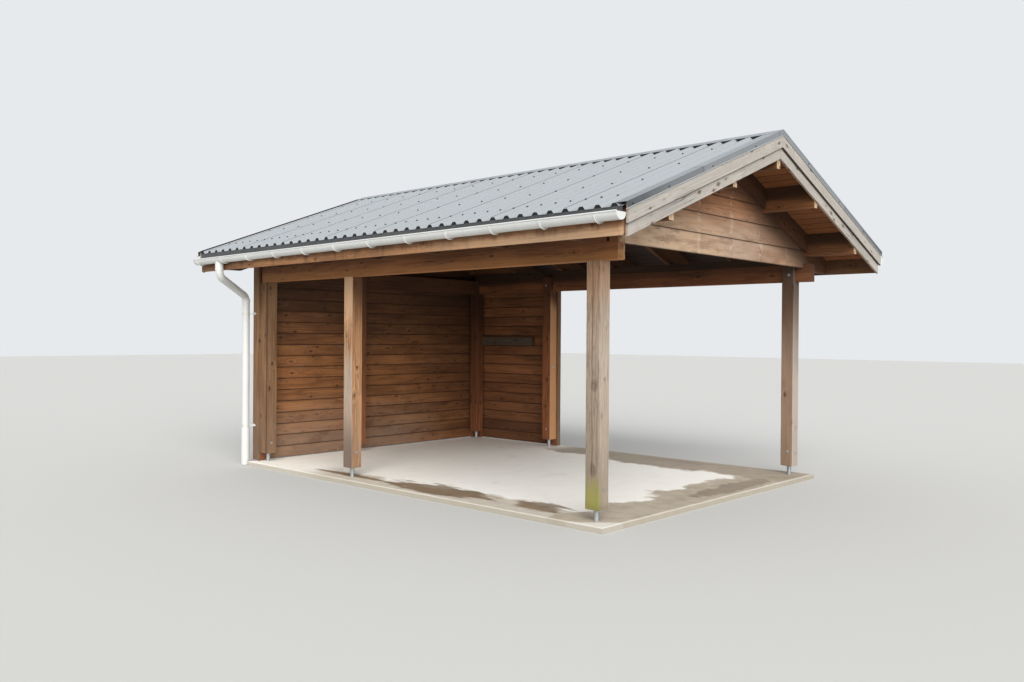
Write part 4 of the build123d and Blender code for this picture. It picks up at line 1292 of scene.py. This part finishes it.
# %% The recipe for fillers
fillers = Recipe("wave_fillers", {"Finish": "Material", "Foot": "Float", "Top": "Float",
                                  "Height": "Float"})
route = fillers.node("GeometryNodeMeshToCurve", {}, {"Mesh": fillers["Geometry"]})
section = fillers.node("GeometryNodeCurvePrimitiveQuadrilateral", {"mode": "TRAPEZOID"}, {
    "Height": fillers["Height"], "Bottom Width": fillers["Top"], "Top Width": fillers["Foot"],
    "Offset": 0.0})
solid = fillers.node("GeometryNodeCurveToMesh", {}, {"Curve": route, "Profile Curve": section,
                                                     "Fill Caps": True})
solid = fillers.node("GeometryNodeRealizeInstances", {}, {"Geometry": solid})
fillers.close(fillers.node("GeometryNodeSetMaterial", {}, {
    "Geometry": solid, "Material": fillers["Finish"]}))
print("filler recipe ready")

# %% [markdown]
# The last recipe bends a flat rib round the gutter: a small rectangle, swept along an arc
# below the trough and set on every point that the recipe is given.

# %% The recipe for gutter ribs
RIB_START, RIB_SWEEP = math.radians(192), math.radians(156)
hoops = Recipe("hoops", {"Finish": "Material", "Radius": "Float", "Width": "Float",
                         "Depth": "Float"})
arc = hoops.node("GeometryNodeCurveArc", {"mode": "RADIUS"}, {
    "Resolution": 16, "Radius": hoops["Radius"], "Start Angle": RIB_START,
    "Sweep Angle": RIB_SWEEP}, output="Curve")
section = hoops.node("GeometryNodeCurvePrimitiveQuadrilateral", {"mode": "RECTANGLE"},
                     {"Width": hoops["Depth"], "Height": hoops["Width"]})
hoop = hoops.node("GeometryNodeCurveToMesh", {}, {"Curve": arc, "Profile Curve": section,
                                                  "Fill Caps": True})
hoop = hoops.node("GeometryNodeTransform", {}, {
    "Geometry": hoop, "Rotation": hoops.node("FunctionNodeEulerToRotation", {}, {
        0: (math.pi / 2, 0.0, math.pi / 2)})})
placed = hoops.node("GeometryNodeInstanceOnPoints", {}, {
    "Points": hoops["Geometry"], "Instance": hoop})
placed = hoops.node("GeometryNodeRealizeInstances", {}, {"Geometry": placed})
hoops.close(hoops.node("GeometryNodeSetMaterial", {}, {
    "Geometry": placed, "Material": hoops["Finish"]}))
print("rib recipe ready")

# %% [markdown]
# What lies on the roof is easiest to place by its distance down the slope from the ridge and
# its lift over the deck. One small function turns those two into a point, for either slope.

# %% Places on the roof
WAVE = 0.159
WAVE_HEIGHT = 0.025
CREST = 0.034
FLANK = 0.022
WAVES = 40
SHEET_END = 3.18
TOP_EDGE = 0.015
crest_lift = (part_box("front_roof_sheets")[1].z - apex + TOP_EDGE * RISE) * math.cos(SLOPE)
eave_down = -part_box("front_roof_sheets")[0].y / math.cos(SLOPE)


def roof_point(x, down, lift, side):
    """A point on the roof, at a distance down the slope from the ridge and a lift over the deck."""
    y = side * (down * math.cos(SLOPE) + lift * math.sin(SLOPE))
    z = apex - down * math.sin(SLOPE) + lift * math.cos(SLOPE)
    return Vector((x, y, z))


def slope_normal(side):
    """The direction square to a slope, upwards."""
    return Vector((0, side * math.sin(SLOPE), math.cos(SLOPE)))


print("crests", round(crest_lift, 4), "m over the deck, eave", round(eave_down, 3), "m down")

# %% [markdown]
# The roof sheets are screwed to the battens with dark washered screws, in rows that follow
# the battens 0.6 m apart, on every second crest. Along the eave there is a screw on
# every crest. Each sheet covers five waves, and a thin dark bar of painted shadow marks where the
# next one laps it.

# %% Roof screws and side laps
BATTEN_ROWS = (0.58, 1.19, 1.80)
EAVE_ROW = 2.41
WAVES_PER_SHEET = 5
roof_screws = []
sheet_lap_shadows = []
for side in (-1, 1):
    for row, step in ((EAVE_ROW, 1), *((down, 2) for down in BATTEN_ROWS)):
        for i in range(1, WAVES - 1, step):
            spot = roof_point(-SHEET_END + WAVE * (i + 0.5), row, crest_lift + 0.001, side)
            roof_screws.append((spot, slope_normal(side)))
    for i in range(WAVES // WAVES_PER_SHEET):
        x = -SHEET_END + WAVE * (1.5 + WAVES_PER_SHEET * i) - CREST / 2
        sheet_lap_shadows.append((roof_point(x, 0.10, crest_lift, side),
                          roof_point(x, eave_down - 0.04, crest_lift, side)))
fixings.build("roof_screws", "dark_flashing", mesh=places("roof_screws", roof_screws),
              Finish=foam_finish, Washer=0.0115, Head=0.007, Head_Height=0.009, Sides=6)
# painted shadow: a thin dark bar along each side lap
bars.build("sheet_lap_shadows", "dark_flashing", mesh=edges("sheet_lap_shadows", sheet_lap_shadows),
           Finish=charcoal_finish, Radius=0.0022, Sides=4)

# %% [markdown]
# Blocks of dark foam close the waves, so that no bird or snow gets in: under each crest at the
# eave, and over each trough under the ridge cap. From below they show as a row of dark teeth.

# %% Foam fillers at the eaves and under the ridge cap
FILLER_SLACK = 0.002
EAVE_BLOCK = (0.075, 0.030)
RIDGE_BLOCK = (0.100, 0.145)
middle_lift = crest_lift - WAVE_HEIGHT / 2 - 0.0015
eave_fillers = []
ridge_fillers = []
for side in (-1, 1):
    for i in range(WAVES):
        x = -SHEET_END + WAVE * (i + 0.5)
        eave_fillers.append([roof_point(x, eave_down - inset, middle_lift, side)
                             for inset in EAVE_BLOCK])
    for i in range(1, WAVES):
        x = -SHEET_END + WAVE * i
        lift = middle_lift + FILLER_SLACK
        ridge_fillers.append([roof_point(x, down, lift, side) for down in RIDGE_BLOCK])
fillers.build("eave_fillers", "dark_flashing", mesh=edges("eave_fillers", eave_fillers),
              Finish=foam_finish, Foot=CREST + 2 * FLANK - 2 * FILLER_SLACK,
              Top=CREST - FILLER_SLACK, Height=WAVE_HEIGHT - FILLER_SLACK)
fillers.build("ridge_fillers", "dark_flashing", mesh=edges("ridge_fillers", ridge_fillers),
              Finish=foam_finish, Foot=WAVE - CREST - 2 * FLANK, Top=WAVE - CREST,
              Height=WAVE_HEIGHT)

# %% [markdown]
# The flashings come in lengths, so they have lap lines too, drawn as dark bars of painted
# shadow, and the verge ones end in a folded hem whose paler finish is a painted highlight. At the
# far end a dark bar under the flashing's top leg is painted shade.

# %% Hems and laps of the flashings
VERGE_DROP = 0.0505
VERGE_LEG = 0.11
VERGE_LAPS = (0.06, 1.545)
CAP_LAPS = (-1.4, 0.62, 2.62)
CAP_FALL = 0.16
SHADE_BAR_INSET = 0.108
verge_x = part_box("verge_flashings")[1].x
hem_lift = crest_lift - VERGE_DROP
hems = []
lap_shadow_bars = []
for end in (-1, 1):
    for side in (-1, 1):
        hems.append((roof_point(end * (verge_x + 0.001), 0.0, hem_lift, side),
                     roof_point(end * (verge_x + 0.001), eave_down, hem_lift, side)))
        for down in VERGE_LAPS:
            corner = roof_point(end * verge_x, down, crest_lift + 0.001, side)
            inner = roof_point(end * (verge_x - VERGE_LEG), down, crest_lift + 0.001, side)
            lap_shadow_bars.append((corner, roof_point(end * verge_x, down, hem_lift, side)))
            lap_shadow_bars.append((corner, inner))
cap_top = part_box("ridge_cap")[1].z
for x in CAP_LAPS:
    for side in (-1, 1):
        lap_shadow_bars.append((Vector((x, 0, cap_top)),
                     Vector((x, side * CAP_FALL, cap_top - CAP_FALL * RISE))))
# the hems get the paler finish as a painted highlight
bars.build("verge_hems", "flashing_metal", mesh=edges("verge_hems", hems), Finish=hem_highlight_finish,
           Radius=0.0035, Sides=8)
# painted shade: a dark bar along the far verge under the flashing's top leg
dark_verge_bar = [[roof_point(SHADE_BAR_INSET - verge_x, down, crest_lift + 0.004, side)
             for down in (0.16, eave_down - 0.01)] for side in (-1, 1)]
bars.build("far_verge_shade_bars", "dark_flashing", mesh=edges("far_verge_shade_bars", dark_verge_bar),
           Finish=foam_finish, Radius=0.010, Sides=8)
# dark bars of painted shadow along the flashings' laps
bars.build("flashing_lap_shadows", "dark_flashing", mesh=edges("flashing_lap_shadows", lap_shadow_bars),
           Finish=charcoal_finish, Radius=0.0015, Sides=4)

# %% [markdown]
# Each bracket has a raised rib round the gutter. The gutter falls towards its outlet at the
# far end, so the ribs stand along a line that falls with it.

# %% Ribs of the gutter brackets
GUTTER_RADIUS = 0.0625
BEAD = 0.007
GUTTER_FALL = 0.030
BRACKETS = 12
HALF_BRACKET = 0.0125
gutter_low, gutter_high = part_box("front_gutter")
axis_y = -gutter_low.y - BEAD - GUTTER_RADIUS
axis_z = gutter_high.z - BEAD
first_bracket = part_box("gutter_brackets")[1].x - HALF_BRACKET
last_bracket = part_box("gutter_brackets")[0].x + HALF_BRACKET
ribs = []
for i in range(BRACKETS):
    x = first_bracket + (last_bracket - first_bracket) * i / (BRACKETS - 1)
    z = axis_z - GUTTER_FALL * (gutter_high.x - x) / (gutter_high.x - gutter_low.x)
    ribs += [(Vector((x, side * axis_y, z)), Vector((0, side, 0))) for side in (-1, 1)]
hoops.build("bracket_ribs", "white_metal", mesh=places("bracket_ribs", ribs), Finish=white_finish,
            Radius=GUTTER_RADIUS + 0.009, Width=0.005, Depth=0.012)

# %% [markdown]
# The downpipe is put together from lengths: each has a collar round the end of the next, and
# the lowest half metre is a wider sleeve that slides up over the pipe. A round cover hides the
# screw of each pipe clip.

# %% Collars, sleeves and knobs
PIPE_RADIUS = 0.045
PIPE_OFF_FRAME = 0.115
OUTLET_INSET = 0.178
SLEEVE = (0.004, 0.470)
PIPE_COLLAR = (2.035, 2.085)
OUTLET_COLLAR = (0.175, 0.095)
CLIP_KNOBS = ((0.092, -1.948, -1.964), (0.035, 2.015, 2.029))
frame_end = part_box("front_far_post")[0].x
pipe_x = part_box("front_downpipe")[0].x + PIPE_RADIUS
pipe_y = -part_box("front_far_post")[0].y + PIPE_OFF_FRAME
outlet_x = frame_end + OUTLET_INSET


def upright(x, y, foot, top):
    """The two ends of an upright bar."""
    return Vector((x, y, foot)), Vector((x, y, top))


collars = []
sleeves = []
knobs = []
for side in (-1, 1):
    sleeves.append(upright(pipe_x, side * pipe_y, *SLEEVE))
    collars.append(upright(pipe_x, side * pipe_y, *PIPE_COLLAR))
    collars.append(upright(outlet_x, side * axis_y, *(axis_z - below for below in OUTLET_COLLAR)))
for z in (0.495, axis_z - 0.674):
    for past, inner_y, outer_y in CLIP_KNOBS:
        x = frame_end - past
        knobs.append((Vector((x, inner_y, z)), Vector((x, outer_y, z))))
bars.build("pipe_collars", "white_metal", mesh=edges("pipe_collars", collars), Finish=white_finish,
           Radius=0.0485, Sides=32)
bars.build("pipe_sleeves", "white_metal", mesh=edges("pipe_sleeves", sleeves), Finish=white_finish,
           Radius=0.0525, Sides=32)
bars.build("clip_knobs", "white_metal", mesh=edges("clip_knobs", knobs), Finish=white_finish,
           Radius=0.019, Sides=16)

# %% [markdown]
# Bolts go through the posts into the beams and the feet. The first list holds the heads on the
# faces towards the open gable, and the second the heads on the faces towards the middle of the
# frame: the post, how far across its face the head sits, and how high.

# %% Bolts
NEAR_FACE_BOLTS = (("front_near_post", 0.0725, 0.322), ("front_middle_post", 0.073, 0.329),
                   ("front_far_post", 0.073, 0.283), ("rear_near_post", 0.066, 0.300),
                   ("rear_middle_post", 0.080, 1.198))
INNER_FACE_BOLTS = (("rear_near_post", 0.086, 2.372), ("rear_near_post", 0.088, 0.322),
                    ("rear_middle_post", 0.057, 2.375), ("rear_middle_post", 0.075, 0.303),
                    ("front_near_post", 0.060, 2.375), ("front_middle_post", 0.080, 2.370))
bolts = []
for name, across, height in NEAR_FACE_BOLTS:
    low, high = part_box(name)
    y = low.y + across if low.y < 0 else high.y - across
    bolts.append((Vector((high.x, y, height)), Vector((1, 0, 0))))
for name, across, height in INNER_FACE_BOLTS:
    low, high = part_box(name)
    inside = 1 if low.y < 0 else -1
    face = high.y if inside == 1 else low.y
    bolts.append((Vector((low.x + across, face, height)), Vector((0, inside, 0))))
fixings.build("post_bolts", "galvanised_steel", mesh=places("post_bolts", bolts),
              Finish=zinc_finish, Washer=0.017, Head=0.011, Head_Height=0.008, Sides=8)

# %% [markdown]
# Dark screws hold the flashings to the barge boards. Nails hold the boards: two in each
# crossing of a gable board with a stud, and a row along each barge board.

# %% Verge screws and nails
VERGE_SCREWS = (0.57, 1.38, 2.1, 2.63)
GABLE_ROWS = 6
NAIL_RISES = (0.045, 0.155)
GABLE_REACH = 1.75
SLOPE_MARGIN = 0.26
BARGE_NAILS = [0.2 + 0.48 * i for i in range(6)]
BARGE_LAP = 0.022
verge_screws = []
for end in (-1, 1):
    for side in (-1, 1):
        for down in VERGE_SCREWS:
            spot = roof_point(end * verge_x, down, crest_lift - 0.033, side)
            verge_screws.append((spot, Vector((end, 0, 0))))
fixings.build("verge_screws", "dark_flashing", mesh=places("verge_screws", verge_screws),
              Finish=foam_finish, Washer=0.008, Head=0.005, Head_Height=0.005, Sides=6)
gable_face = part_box("near_gable_cladding")[1].x
nails = []
for row in range(GABLE_ROWS):
    for line in range(-3, 3):
        for rise in NAIL_RISES:
            y = (line + STUD_SHIFT) / STUDS_PER_METRE
            z = GABLE_FOOT + GABLE_BOARD * row + rise
            if abs(y) < GABLE_REACH and z < apex - abs(y) * RISE - SLOPE_MARGIN:
                nails.append((Vector((gable_face, y, z)), Vector((1, 0, 0))))
barge_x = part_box("upper_barge_boards")[1].x
for end in (-1, 1):
    for side in (-1, 1):
        for down in BARGE_NAILS:
            for lift, x in ((-0.03, barge_x), (-0.12, barge_x - BARGE_LAP)):
                nails.append((roof_point(end * x, down, lift, side), Vector((end, 0, 0))))
fixings.build("board_nails", "galvanised_steel", mesh=places("board_nails", nails),
              Finish=zinc_finish, Washer=0.0035, Head=0.003, Head_Height=0.001, Sides=6)
